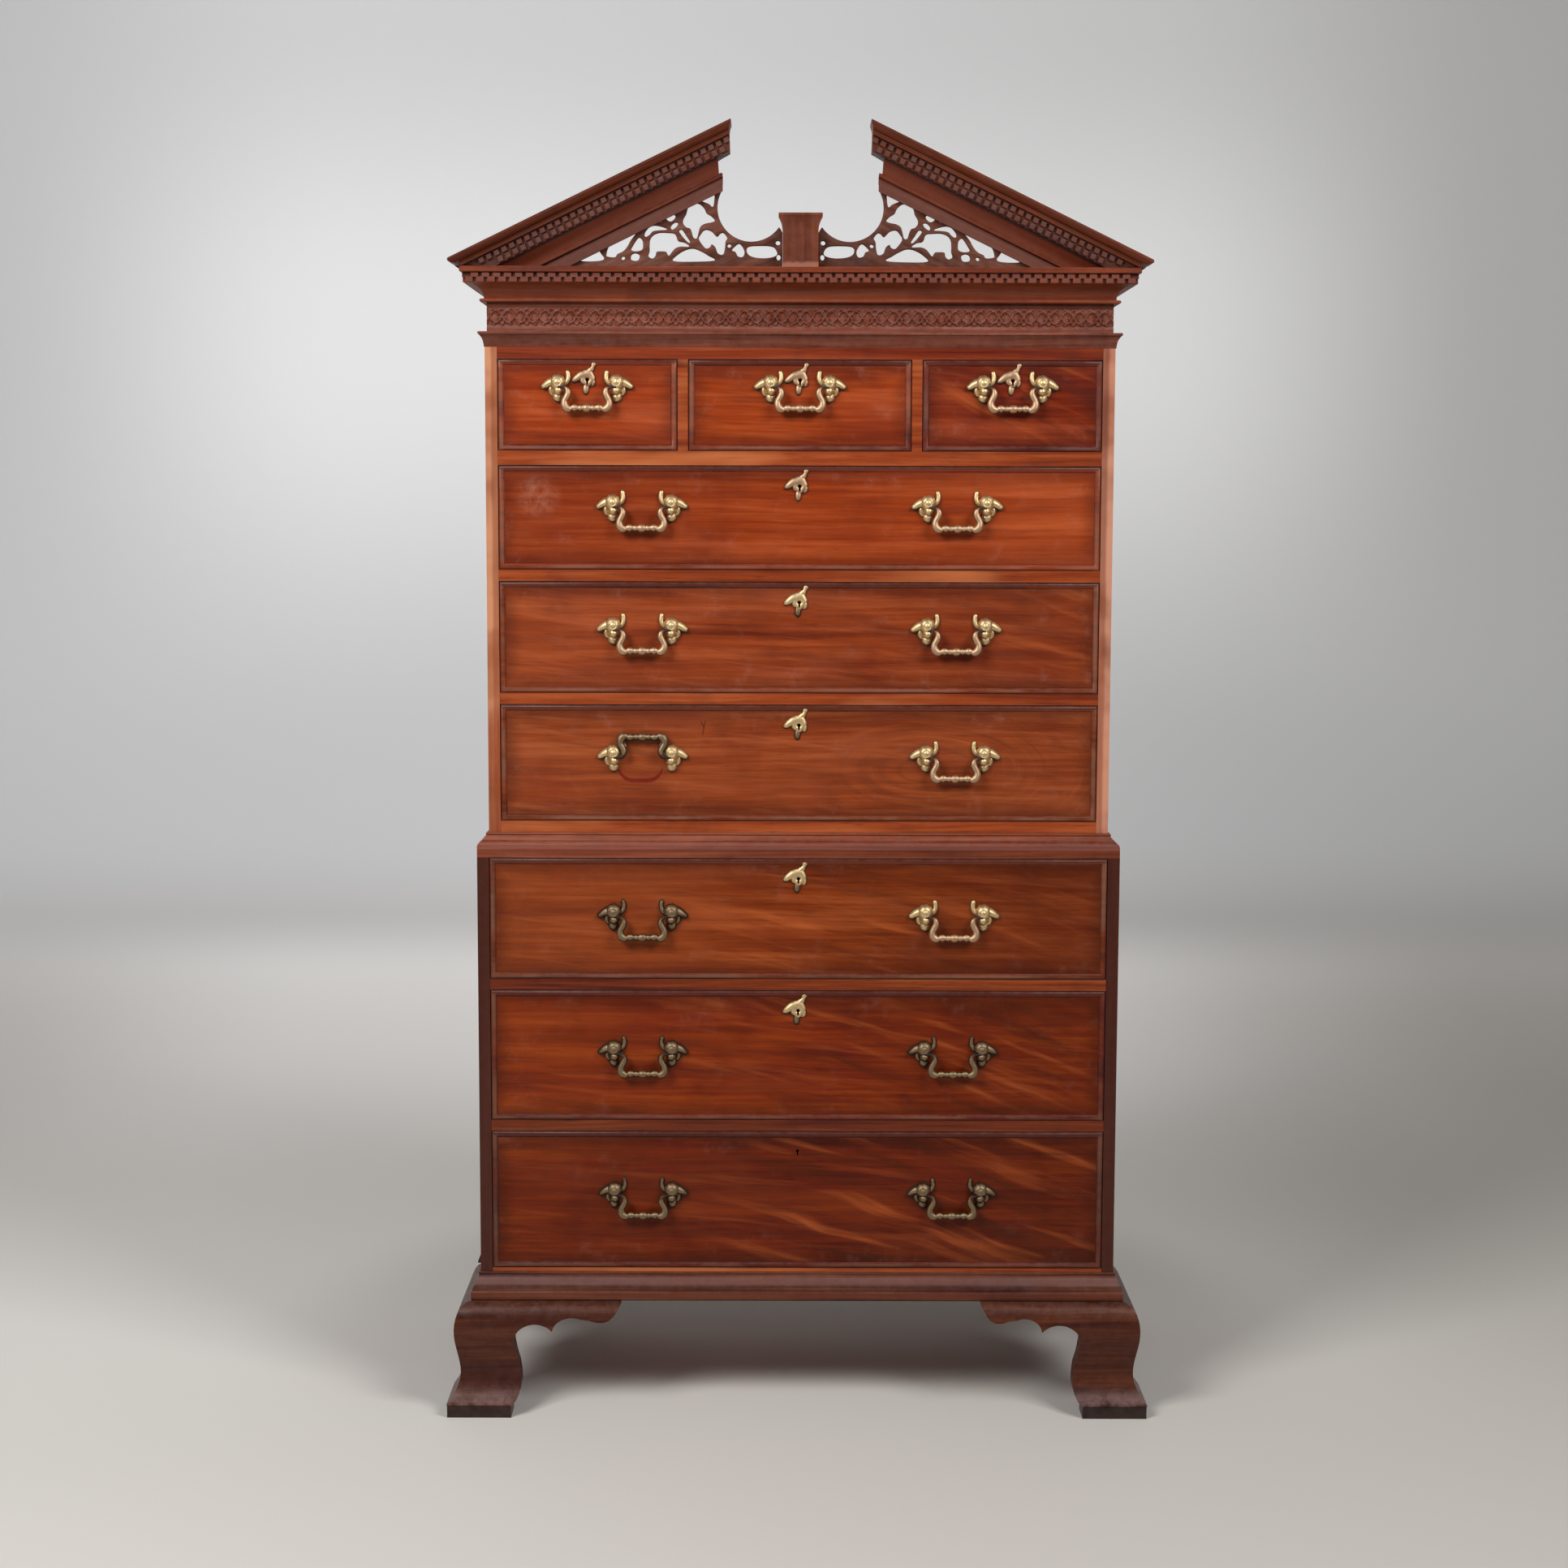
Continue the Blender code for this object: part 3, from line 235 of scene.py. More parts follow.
# %% Wire
class Wire:
    """A number coming out of a node. Signs between wires and numbers become Math nodes."""

    def __init__(self, finish, socket):
        self.finish, self.socket = finish, socket

    def sum_of(self, operation, first, second):
        return self.finish.node("ShaderNodeMath", {"operation": operation}, {0: first, 1: second})

    def __add__(self, other):
        return self.sum_of("ADD", self, other)

    def __sub__(self, other):
        return self.sum_of("SUBTRACT", self, other)

    def __rsub__(self, other):
        return self.sum_of("SUBTRACT", other, self)

    def __mul__(self, other):
        return self.sum_of("MULTIPLY", self, other)

    def __truediv__(self, other):
        return self.sum_of("DIVIDE", self, other)

    def __pow__(self, other):
        return self.sum_of("POWER", self, other)

    def lower(self, other):
        return self.sum_of("MINIMUM", self, other)

    def higher(self, other):
        return self.sum_of("MAXIMUM", self, other)

    def size(self):
        return self.sum_of("ABSOLUTE", self, 0.0)

    __radd__ = __add__
    __rmul__ = __mul__


print("signs and functions of a wire", sum(callable(value) for value in vars(Wire).values()) - 1)

# %% [markdown]
# `Finish` also gives short names to what every material here needs: a place on the piece, clouds of noise,
# a soft step, a ramp or a mix of colours, and a bump. A colour is written as a screen shows it, and
# `paint` turns it into the linear values that light adds up in.

# %% Finish
class Finish:
    """A Principled shader with constants on its sockets, and nodes for what changes over a piece."""

    def __init__(self, name, **constants):
        self.material = bpy.data.materials.new(name)
        self.material.use_nodes = True
        self.tree = self.material.node_tree
        self.shader = next(n for n in self.tree.nodes if n.type == "BSDF_PRINCIPLED")
        for socket, value in constants.items():
            self.shader.inputs[socket.replace("_", " ")].default_value = value

    def node(self, kind, settings=None, inputs=None, output=0):
        """Adds a node. A ramp's stops are given as a setting: a list of (place, colour)."""
        made = self.tree.nodes.new(kind)
        for key, value in (settings or {}).items():
            if key == "stops":
                for i, (place, colour) in enumerate(value):
                    stop = made.color_ramp.elements[i] if i < 2 else made.color_ramp.elements.new(place)
                    stop.position, stop.color = place, (*colour[:3], 1.0)
            else:
                setattr(made, key, value)
        for key, value in (inputs or {}).items():
            self.feed(made.inputs[key], value)
        return Wire(self, made.outputs[output])

    def feed(self, socket, value):
        if isinstance(value, Wire):
            self.tree.links.new(value.socket, socket)
        else:
            socket.default_value = value

    def give(self, socket, value):
        """Sends a wire to one of the shader's sockets."""
        self.feed(self.shader.inputs[socket], value)

    def place(self, scale=(1, 1, 1), turn=(0, 0, 0), shift=(0, 0, 0)):
        """Where a point is on the piece, in metres, stretched and turned."""
        at = self.node("ShaderNodeTexCoord", output="Object")
        inputs = {"Vector": at, "Scale": scale, "Rotation": turn, "Location": shift}
        return self.node("ShaderNodeMapping", None, inputs)

    def axes(self, vector):
        """The three numbers of a vector."""
        parts = self.node("ShaderNodeSeparateXYZ", None, {0: vector})
        return [Wire(self, parts.socket.node.outputs[i]) for i in range(3)]

    def vector(self, x, y, z):
        return self.node("ShaderNodeCombineXYZ", None, {0: x, 1: y, 2: z})

    def noise(self, vector, scale=1.0, detail=4.0, rough=0.55, swirl=0.0):
        """Soft clouds between 0 and 1, about 0.5 on average."""
        inputs = {"Vector": vector, "Scale": scale, "Detail": detail, "Roughness": rough, "Distortion": swirl}
        return self.node("ShaderNodeTexNoise", None, inputs)

    def rise(self, value, low, high):
        """0 below low, 1 above high, and a smooth S between them."""
        settings = {"interpolation_type": "SMOOTHSTEP"}
        return self.node("ShaderNodeMapRange", settings, {0: value, 1: low, 2: high, 3: 0.0, 4: 1.0})

    def ramp(self, value, stops):
        return self.node("ShaderNodeValToRGB", {"stops": stops}, {0: value})

    def mix(self, share, first, second, blend="MIX"):
        """A colour between two colours."""
        first = (*first, 1.0) if isinstance(first, tuple) else first
        second = (*second, 1.0) if isinstance(second, tuple) else second
        settings = {"data_type": "RGBA", "blend_type": blend, "clamp_factor": True}
        return self.node("ShaderNodeMix", settings, {0: share, 6: first, 7: second}, output=2)

    def bump(self, height, strength, distance):
        """Lets a height in metres tilt the surface's normals."""
        inputs = {"Strength": strength, "Distance": distance, "Height": height}
        self.give("Normal", self.node("ShaderNodeBump", None, inputs))


def paint(red, green, blue):
    """A colour as a screen shows it, 0 to 255, in the linear values of shaders: the sRGB curve undone."""
    c = np.array([red, green, blue]) / 255
    return tuple(np.where(c <= 0.04045, c / 12.92, ((c + 0.055) / 1.055) ** 2.4).tolist())


def shade(tone, share):
    """A colour made darker, or lighter, by a share of itself."""
    return tuple(share * v for v in tone)


print("a mid red-brown in linear values", [round(v, 3) for v in paint(140, 60, 30)])

# %% [markdown]
# ## Mahogany
# Old polished mahogany is a red-brown ground with darker and paler streaks along the grain, thousands of
# short dark pores, and a broken-up shine. All of that is noise that is stretched along the grain: broad
# bands a few centimetres apart, finer streaks, and hair-thin dashes for the pores. The noise is read at
# the point's own place on the piece, so that the figure runs through the board as it does in solid timber.
# Dust lies on what faces up, and the hands and rags of two centuries leave the edges darker.

# %% Mahogany finish
VEIL = (0.0, 0.006, 0.0095)


def grain_place(finish, grain, seed):
    """Coordinates with the grain first: along x, y or z, 'run' round three sides, or 'rake' up the slopes."""
    x, y, z = finish.axes(finish.place(shift=(seed, 0.37 * seed, 0.0)))
    if grain == "x":
        return x, z, y
    if grain == "y":
        return y, z, x
    if grain == "z":
        return z, x, y
    if grain == "rake":
        return x, z + 0.484 * finish.axes(finish.place())[0].size(), y
    return x + y, z, 0.0


def mahogany(name, dark, middle, light, grain="x", seed=0.0, dust=0.0, roughness=0.40, coat=0.07,
             contrast=1.0, add=None, shine=0.24):
    """Timber with bands, streaks and pores along the grain; add(finish, colour) may paint more over it.

    The polish's own grey sheen, the veil, is taken off the three tones first. shine says how strong it is.
    """
    finish = Finish(name, Coat_Roughness=0.22, Coat_IOR=1.45, Specular_IOR_Level=shine)
    dark, middle, light = (tuple(max(v - less, 0.0016) for v, less in zip(tone, VEIL))
                           for tone in (dark, middle, light))
    along, across, depth = grain_place(finish, grain, seed)
    sway = finish.noise(finish.vector(along * 1.7, across * 3.0, depth * 3.0), 1.0, 2.0)
    across = across + 0.020 * (sway - 0.5)
    bands = finish.noise(finish.vector(along * 1.1, across * 24.0, depth * 9.0), 1.0, 3.0, 0.6)
    streaks = finish.noise(finish.vector(along * 4.0, across * 120.0, depth * 40.0), 1.0, 4.0, 0.65)
    pores = finish.noise(finish.vector(along * 26.0, across * 560.0, depth * 200.0), 1.0, 2.0, 0.5)
    tone = 0.5 + contrast * (0.62 * (bands - 0.5) + 0.50 * (streaks - 0.5))
    colour = finish.ramp(tone, [(0.34, dark), (0.50, middle), (0.68, light)])
    dashes = finish.rise(pores, 0.58, 0.74)
    colour = finish.mix(0.45 * dashes, colour, shade(dark, 0.35))
    clouds = finish.noise(finish.place((1, 1, 1), shift=(3.1 + seed, 0, 0)), 7.0, 3.0, 0.6)
    colour = finish.mix(0.55 * finish.rise(clouds, 0.50, 0.78), colour, shade(dark, 0.72))
    if add:
        colour = add(finish, colour)
    if dust:
        facing = finish.axes(finish.node("ShaderNodeNewGeometry", output="Normal"))[2]
        fluff = finish.noise(finish.place(), 60.0, 5.0, 0.7)
        share = dust * (0.25 + 0.75 * finish.rise(facing, 0.05, 0.75)) * finish.rise(fluff, 0.30, 0.70)
        colour = finish.mix(share, colour, paint(150, 122, 118))
    finish.give("Base Color", colour)
    finish.give("Roughness", roughness + 0.16 * (streaks - 0.5) + 0.14 * (clouds - 0.5) + 0.10 * dashes)
    finish.give("Coat Weight", finish.rise(clouds, 0.75, 0.35) * coat)
    finish.bump(0.6 * streaks - 0.8 * dashes + 0.3 * bands, 0.22, 0.0005)
    return finish.material


print("the veil of the polish", VEIL)

# %% [markdown]
# The same timber looks different all over the chest. The rails have pale gold-orange patches, a painted
# highlight for their sheen; the upper stiles have a pale painted highlight down their front edges; the lower
# ones are nearly black, and the mouldings are dusty. Each of these is a small function that paints over the
# timber, with a mask that is made from the point's own place on the chest.

# %% Timber of the upper rails and stiles
def golden_sheen(finish, colour):
    """Pale gold-orange patches along a rail: a painted highlight for the rails' sheen."""
    x, _, z = finish.axes(finish.place())
    sheen_patch = finish.noise(finish.vector(x * 2.4, z * 9.0, 7.0), 1.0, 3.0, 0.55)
    return finish.mix(0.58 * finish.rise(sheen_patch, 0.49, 0.66), colour, paint(194, 112, 64))


def stile_highlight(finish, colour):
    """A painted highlight down the upright front edges, pale orange on the left and pinkish on the right; the
    sides stay dark.
    """
    x, y, z = finish.axes(finish.place())
    patchiness = finish.noise(finish.place((1, 1, 1), shift=(4.0, 0, 0)), 8.0, 3.0, 0.6)
    front = finish.rise(y, -0.188, -0.212) * (0.40 + 0.60 * finish.rise(patchiness, 0.36, 0.62))
    pale = finish.mix(0.8 * finish.rise(x, -0.1, 0.1), paint(206, 144, 106), paint(204, 144, 118))
    kept = 1.0 - 0.80 * finish.rise(z, 1.24, 1.19) * finish.rise(x, 0.1, -0.1)
    outer = finish.rise(x.size() + 0.006 * (patchiness - 0.5), UPPER_HALF - 0.0130, UPPER_HALF - 0.0070)
    return finish.mix(0.84 * kept * front * (0.45 + 0.55 * outer), colour, pale)


case_x = mahogany("case_mahogany", paint(98, 38, 18), paint(142, 62, 33), paint(172, 88, 50), "x", 1.0,
                  dust=0.08, add=golden_sheen)
case_z = mahogany("stile_mahogany", paint(86, 34, 20), paint(128, 56, 32), paint(158, 84, 54), "z", 2.0,
                  dust=0.10, add=stile_highlight)
print("upper chest", case_x.name, case_z.name)

# %% [markdown]
# The lower chest stands in the shade of the upper one, and that shade is painted: it is darker, and darkest
# near the floor. The frieze is out of reach, and grey with dust.

# %% Timber of the lower rails and stiles, and of the frieze
def floor_shade(finish, colour):
    """Painted shade: the nearer the floor, the darker."""
    height = finish.axes(finish.place())[2]
    return finish.mix(0.45 * finish.rise(height, 0.66, 0.40), colour, paint(44, 17, 10))


def shaded_edge(finish, colour):
    """The lower stiles' fronts are nearly black, the dark thinning out round the corner onto the sides."""
    back = finish.axes(finish.place())[1]
    return finish.mix(0.86 * finish.rise(back, -0.175, -0.222), colour, paint(54, 19, 9))


low_x = mahogany("low_rail_mahogany", paint(72, 27, 13), paint(120, 51, 28), paint(156, 82, 48), "x", 2.5,
                 dust=0.05, add=floor_shade)
low_z = mahogany("low_stile_mahogany", paint(70, 28, 17), paint(108, 48, 30), paint(136, 72, 48), "z", 5.0,
                 dust=0.10, add=shaded_edge)
dark_x = mahogany("frieze_mahogany", paint(76, 36, 28), paint(112, 58, 44), paint(140, 82, 66), "x", 4.0,
                  dust=0.40, roughness=0.48)
print("lower chest", low_x.name, low_z.name, "and the frieze", dark_x.name)

# %% [markdown]
# The insides were never polished. Backs, boxes and the top board are paler wood, planed and left bare,
# which has gone grey-brown. It has almost no shine.

# %% Bare inside wood
def bare_wood(name, grain, seed):
    """Unpolished boards: the same streaks, in pale browns, with a dull surface and dark water marks."""

    def stains(finish, colour):
        spots = finish.noise(finish.place(), 5.0, 4.0, 0.6, 0.8)
        return finish.mix(0.6 * finish.rise(spots, 0.55, 0.75), colour, paint(84, 62, 44))

    return mahogany(name, paint(122, 84, 58), paint(158, 114, 80), paint(184, 142, 104), grain, seed,
                    dust=0.1, roughness=0.72, coat=0.0, contrast=0.9, add=stains)


bare_x, bare_z = bare_wood("bare_boards", "x", 6.0), bare_wood("bare_upright_boards", "z", 7.0)
AS_THEY_ARE = {
    "upper_left_side": case_z, "upper_right_side": case_z, "lower_left_side": low_z,
    "lower_right_side": low_z, "upper_rail_1": case_x, "upper_rail_2": case_x, "upper_rail_3": case_x,
    "upper_bottom_board": case_x, "lower_rail_1": low_x, "lower_rail_2": low_x,
    "lower_bottom_board": case_x, "upper_back_panel": bare_z, "lower_back_panel": bare_z,
    "upper_top_board": bare_x, **{drawer + "_box": bare_x for drawer in DRAWERS},
}
for node, finish in AS_THEY_ARE.items():
    for place in nodes[node].material_slots:
        place.material = finish
print("finished as they are:", len(AS_THEY_ARE), "nodes, and later the rear feet")

# %% [markdown]
# ## Drawer fronts
# Each front is a board of showy timber with a cock bead glued round its edge, a half-round strip that
# stands 3 mm proud and takes the knocks. A rectangle carried inwards ring by ring gives board, bead and
# flat field in one skin. The middle of the flat field is the keyhole, so the rings end there: every point
# of a ring lies in one direction from the keyhole, and the last two rings are the hole's rim and its
# bottom, which is painted near black: painted shade for the dark inside the lock.

# %% The keyhole, and rings from the board's edge in to it
EYE, SLOT_HALF, SLOT_DEEP = 0.0026, 0.0012, 0.0085
round_eye = np.arange(-176, 180, 9.0)
round_slot = -90 + np.array([-30, -24, -12, -5, 5, 12, 24, 30])
turns = np.sort(np.radians(np.concatenate([round_eye, round_slot])))


def keyhole_reach(turn):
    """From the eye's middle to the keyhole's edge: the eye's radius, or below it the slot's side or foot."""
    c, s = np.cos(turn), np.sin(turn)
    side = SLOT_HALF / np.maximum(np.abs(c), 1e-6)
    foot = SLOT_DEEP / np.maximum(-s, 1e-6)
    return np.maximum(EYE, np.where(s < -0.3, np.minimum(side, foot), 0.0))


def shares(low, high, eye):
    """Where rays from the eye meet the rectangle's edge, as shares of its sides. The corners are added."""
    corners = np.array([(low[0], low[1]), (high[0], low[1]), (high[0], high[1]), (low[0], high[1])])
    away = corners - np.array(eye)
    every = np.sort(np.concatenate([turns, np.arctan2(away[:, 1], away[:, 0])]))
    c, s = np.cos(every), np.sin(every)
    to_side = np.where(c > 0, high[0] - eye[0], low[0] - eye[0]) / np.where(np.abs(c) < 1e-9, 1e-9, c)
    to_end = np.where(s > 0, high[1] - eye[1], low[1] - eye[1]) / np.where(np.abs(s) < 1e-9, 1e-9, s)
    reach = np.minimum(np.abs(to_side), np.abs(to_end))
    hit = np.column_stack([eye[0] + reach * c, eye[1] + reach * s])
    return every, (hit - low) / (np.array(high) - low)


def front_skin(low, high, eye, front):
    """A drawer front: (inset, depth) rings for board and bead, then the keyhole's rim and bottom."""
    turn = np.linspace(0, math.pi, 9)
    bead = np.column_stack([0.0048 - 0.0040 * np.cos(turn), -0.0030 * np.sin(turn) ** 0.8])
    levels = np.vstack([[(0.0010, 0.020), (0.0, 0.019), (0.0, 0.0004)], bead,
                        [(0.0100, 0.0006), (0.0106, 0.0)]])
    inner = levels[-1, 0]
    every, share = shares(np.array(low) + inner, np.array(high) - inner, eye)
    rings = []
    for inset, depth in levels:
        flat = np.array(low) + inset + share * (np.array(high) - np.array(low) - 2 * inset)
        rings.append(np.column_stack([flat[:, 0], np.full(len(flat), front + depth), flat[:, 1]]))
    hole = np.array(eye) + keyhole_reach(every)[:, None] * np.column_stack([np.cos(every), np.sin(every)])
    for depth in (0.0, 0.008):
        rings.append(np.column_stack([hole[:, 0], np.full(len(hole), front + depth), hole[:, 1]]))
    kinds = [1] * (len(levels) - 1) + [0, 2]
    return skin(np.array(rings), tints=kinds)


print("directions from a keyhole", len(turns) + 4)

# %% [markdown]
# Two centuries of polish have pooled along the beads, so a front gets darker towards its edges. The sawyer
# cut the boards so that a fan of pale flames runs down to the right in most of them, and one has a swirl,
# where a branch left the trunk. The flames are noise along lines that fall ever faster; the swirl is noise
# along ellipses. Each front is painted by its own box, so the dark edge follows the real edge.

# %% Figured front timber
def edge_share(finish, low, high, width):
    """1 at the rectangle's edge, falling to 0 over a ragged width."""
    x, _, z = finish.axes(finish.place())
    ragged = finish.noise(finish.place((1, 1, 1)), 18.0, 3.0, 0.6)
    near = (x - low[0]).lower(high[0] - x).lower(z - low[1]).lower(high[1] - z)
    return finish.rise(near + 0.5 * width * (ragged - 0.5), width, 0.0), near


def paint_flames(finish, colour, x, z, sway, seed, strength, slope, start, dark):
    """Dark and pale licks along lines that fall ever faster: z + slope x + 0.35 slope x squared."""
    fall = z + slope * x + 0.35 * slope * x * x + 0.045 * (sway - 0.5)
    licks = finish.noise(finish.vector(x * 2.4 + 3.0 * seed, fall * 24.0, 0.0), 1.0, 3.0, 0.55)
    share = strength * 0.80 * finish.rise(x + 0.35 * (sway - 0.5), start, start + 0.40)
    colour = finish.mix(share * finish.rise(licks, 0.50, 0.28), colour, dark)
    return finish.mix(share * finish.rise(licks, 0.52, 0.74), colour, paint(196, 98, 46))


def paint_swirl(finish, colour, x, z, sway, centre, dark):
    """Rings where a branch left the trunk: noise along ellipses that are 2.3 times wider than high."""
    away = ((x - centre[0]) / 2.3) ** 2.0 + (z - centre[1]) ** 2.0
    ring = (away + 0.0004 * sway) ** 0.5 * 70.0
    rings = finish.noise(finish.vector(ring, x * 2.0, z * 4.0), 1.0, 3.0, 0.6)
    part = finish.rise(x + 0.3 * (sway - 0.5), centre[0] - 0.30, centre[0] - 0.02)
    colour = finish.mix(0.55 * part * finish.rise(rings, 0.54, 0.74), colour, paint(190, 96, 48))
    return finish.mix(0.50 * part * finish.rise(rings, 0.48, 0.30), colour, dark)


def paint_mottling(finish, colour, x, z, sway, seed, slope, tones):
    """Pale and dark veins along the grain, then honey patches, then red ones."""
    dark, middle, light = tones
    across = (z + 0.3 * slope * x + 0.03 * (sway - 0.5)) * 44.0
    veins = finish.noise(finish.vector(x * 2.8 + 7.0 * seed, across, 5.0), 1.0, 3.0, 0.6)
    colour = finish.mix(0.50 * finish.rise(veins, 0.53, 0.74), colour, shade(light, 1.15))
    colour = finish.mix(0.50 * finish.rise(veins, 0.47, 0.30), colour, dark)
    warm = finish.noise(finish.vector(x * 3.4 + 5.0 * seed, z * 9.0, 0.0), 1.0, 3.0, 0.6)
    honey = tuple(0.6 * a + 0.4 * b for a, b in zip(light, middle))
    colour = finish.mix(0.42 * finish.rise(warm, 0.46, 0.70), colour, honey)
    red = finish.noise(finish.vector(x * 5.0 + 9.0 * seed, z * 8.0, 3.0), 1.0, 3.0, 0.6)
    return finish.mix(0.40 * finish.rise(red, 0.52, 0.74), colour, shade(paint(120, 34, 15), 0.9))


def paint_lean(finish, colour, x, lean, dark, light):
    """Darker towards one side, the right if lean is positive, and lighter towards the other."""
    far, close = (0.45, -0.10) if lean > 0 else (-0.45, 0.10)
    colour = finish.mix(abs(lean) * finish.rise(x, close, far), colour, shade(dark, 0.85))
    return finish.mix(0.6 * abs(lean) * finish.rise(x, -close, -far), colour, light)


falls = [round(0.30 * x + 0.35 * 0.30 * x * x, 3) for x in (0.1, 0.3, 0.5)]
print("a line of the flames falls by", falls, "m at 0.1, 0.3 and 0.5 m from the middle")

# %% [markdown]
# Two fronts carry marks of use: one has a small forked crack over the keyhole and a red bow where the
# standing bail has rubbed through the polish, the other a pale bloom in a corner. Each mark is a distance
# turned into a mask: how far a point is from two lines, from a curve or from a place.

# %% Old marks
def paint_crack(finish, colour, x, z, place):
    """A forked crack: the nearer of two slanting lines, of which one is only above the place."""
    across, up = x - place[0], z - place[1]
    other = (across + 0.42 * up).size() + 10.0 * finish.rise(up, 0.001, 0.0)
    fork = (across - 0.18 * up).size().lower(other)
    part = finish.rise(fork, 0.0011, 0.0004) * finish.rise(up.size(), 0.0150, 0.0090)
    return finish.mix(0.8 * part, colour, paint(52, 16, 8))


def paint_rub(finish, colour, x, z, place):
    """A bow that climbs with the fourth power of the distance from the place's x."""
    bow = z - place[1] - 9000.0 * (x - place[0]) ** 4.0
    part = finish.rise(bow.size(), 0.0056, 0.0020) * finish.rise((x - place[0]).size(), 0.040, 0.036)
    return finish.mix(0.85 * part, colour, paint(106, 17, 10))


def paint_haze(finish, colour, x, z, place):
    """A round pale bloom, broken up by fine noise."""
    away = ((x - place[0]) ** 2.0 + (z - place[1]) ** 2.0) ** 0.5
    grey = finish.noise(finish.place(), 60.0, 4.0, 0.65)
    part = finish.rise(away, 0.048, 0.012) * finish.rise(grey, 0.3, 0.7)
    return finish.mix(0.34 * part, colour, paint(190, 128, 104))


print("the rubbed bow climbs", round(9000 * 0.03 ** 4 * 1000, 1), "mm at 30 mm from its middle")

# %% [markdown]
# A front's timber is the mahogany from above with its figure and its marks painted over it in turn. Its
# bead has a finish of its own, because the strip was cut from other timber, and it carries painted light: a
# highlight along its crest and shade round its edge.

# %% The timber of a front and of its bead
def front_timber(name, low, high, tones, seed, flame=0.0, slope=0.30, start=-0.05, lean=0.0, swirl=None,
                 crack=None, rub=None, haze=None):
    """Mahogany with a drawer's own figure and marks, darker at its edge, and with a grey bloom near it."""
    dark, middle, light = tones
    upper = high[1] > WAIST_TOP

    def figure(finish, colour):
        x, _, z = finish.axes(finish.place())
        sway = finish.noise(finish.vector(x * 3.0 + seed, z * 5.0, 0.0), 1.0, 2.0)
        if flame:
            colour = paint_flames(finish, colour, x, z, sway, seed, flame, slope, start, dark)
        if swirl:
            colour = paint_swirl(finish, colour, x, z, sway, swirl, dark)
        colour = paint_mottling(finish, colour, x, z, sway, seed, slope, tones)
        if lean:
            colour = paint_lean(finish, colour, x, lean, dark, light)
        for place, mark in ((crack, paint_crack), (rub, paint_rub), (haze, paint_haze)):
            if place:
                colour = mark(finish, colour, x, z, place)
        rim, near = edge_share(finish, low, high, 0.045)
        colour = finish.mix(0.6 * rim, colour, shade(dark, 0.55))
        bloom = finish.noise(finish.place((1, 1, 1), shift=(seed, 0, 2.0)), 22.0, 4.0, 0.65)
        grey = (0.18 if upper else 0.09) * finish.rise(bloom, 0.54, 0.80) * finish.rise(near, 0.14, 0.02)
        return finish.mix(grey, colour, paint(178, 128, 112))

    return mahogany(name, dark, middle, light, "x", seed, roughness=0.36, coat=0.10 if upper else 0.06,
                    contrast=0.85, add=figure, shine=0.22 if upper else 0.13)


def bead_timber(name, low, high, shown, seed):
    """The cock bead: brown-purple, with a painted highlight along the crest of the side and lower beads, and
    painted shade: near black where the rail shades the top bead, darker along its outer edge all round.
    """
    tones = [paint(*shade(shown, share)) for share in (0.62, 1.0, 1.25)]
    crest_highlight = paint(1.25 * shown[0] + 14, 1.25 * shown[1] + 50, 1.25 * shown[2] + 54)

    def bead_light_and_shade(finish, colour):
        x, _, z = finish.axes(finish.place())
        rim, near = edge_share(finish, low, high, 0.004)
        aside = (x - low[0]).lower(high[0] - x)
        lower_edge = finish.rise(z, high[1] - 0.03, high[1] - 0.05)
        # Painted highlight: the crest of the side beads and of the lower bead is lighter, where the light
        # catches it.
        flat = finish.rise((near - 0.0048).size(), 0.0036, 0.0010) * lower_edge
        crest = (0.50 * flat).higher(0.50 * finish.rise((aside - 0.0052).size(), 0.0052, 0.0030))
        dull = finish.noise(finish.place((1.0, 1.0, 1.0)), 9.0, 3.0, 0.6)
        colour = finish.mix(0.75 * crest * finish.rise(dull, 0.34, 0.60), colour, crest_highlight)
        # Painted shade: near black under the rail along the top, and darker along the outer edge all round.
        rail_shadow = finish.rise(z, high[1] - 0.0090, high[1] - 0.0030)
        return finish.mix((0.85 * rail_shadow).higher(0.5 * rim), colour, paint(66, 25, 15))

    return mahogany(name, *tones, "x", seed, dust=0.15, roughness=0.40, add=bead_light_and_shade)


reds = [round(paint(*shade((120, 48, 25), share))[0], 3) for share in (0.62, 1.0, 1.25)]
print("the red of a bead's three tones", reds)

# %% [markdown]
# The table gives each front its three tones and how its figure runs. One loop then reads the front's box
# from the packed model, makes its two finishes and its skin, and lets it stand for the plain front.

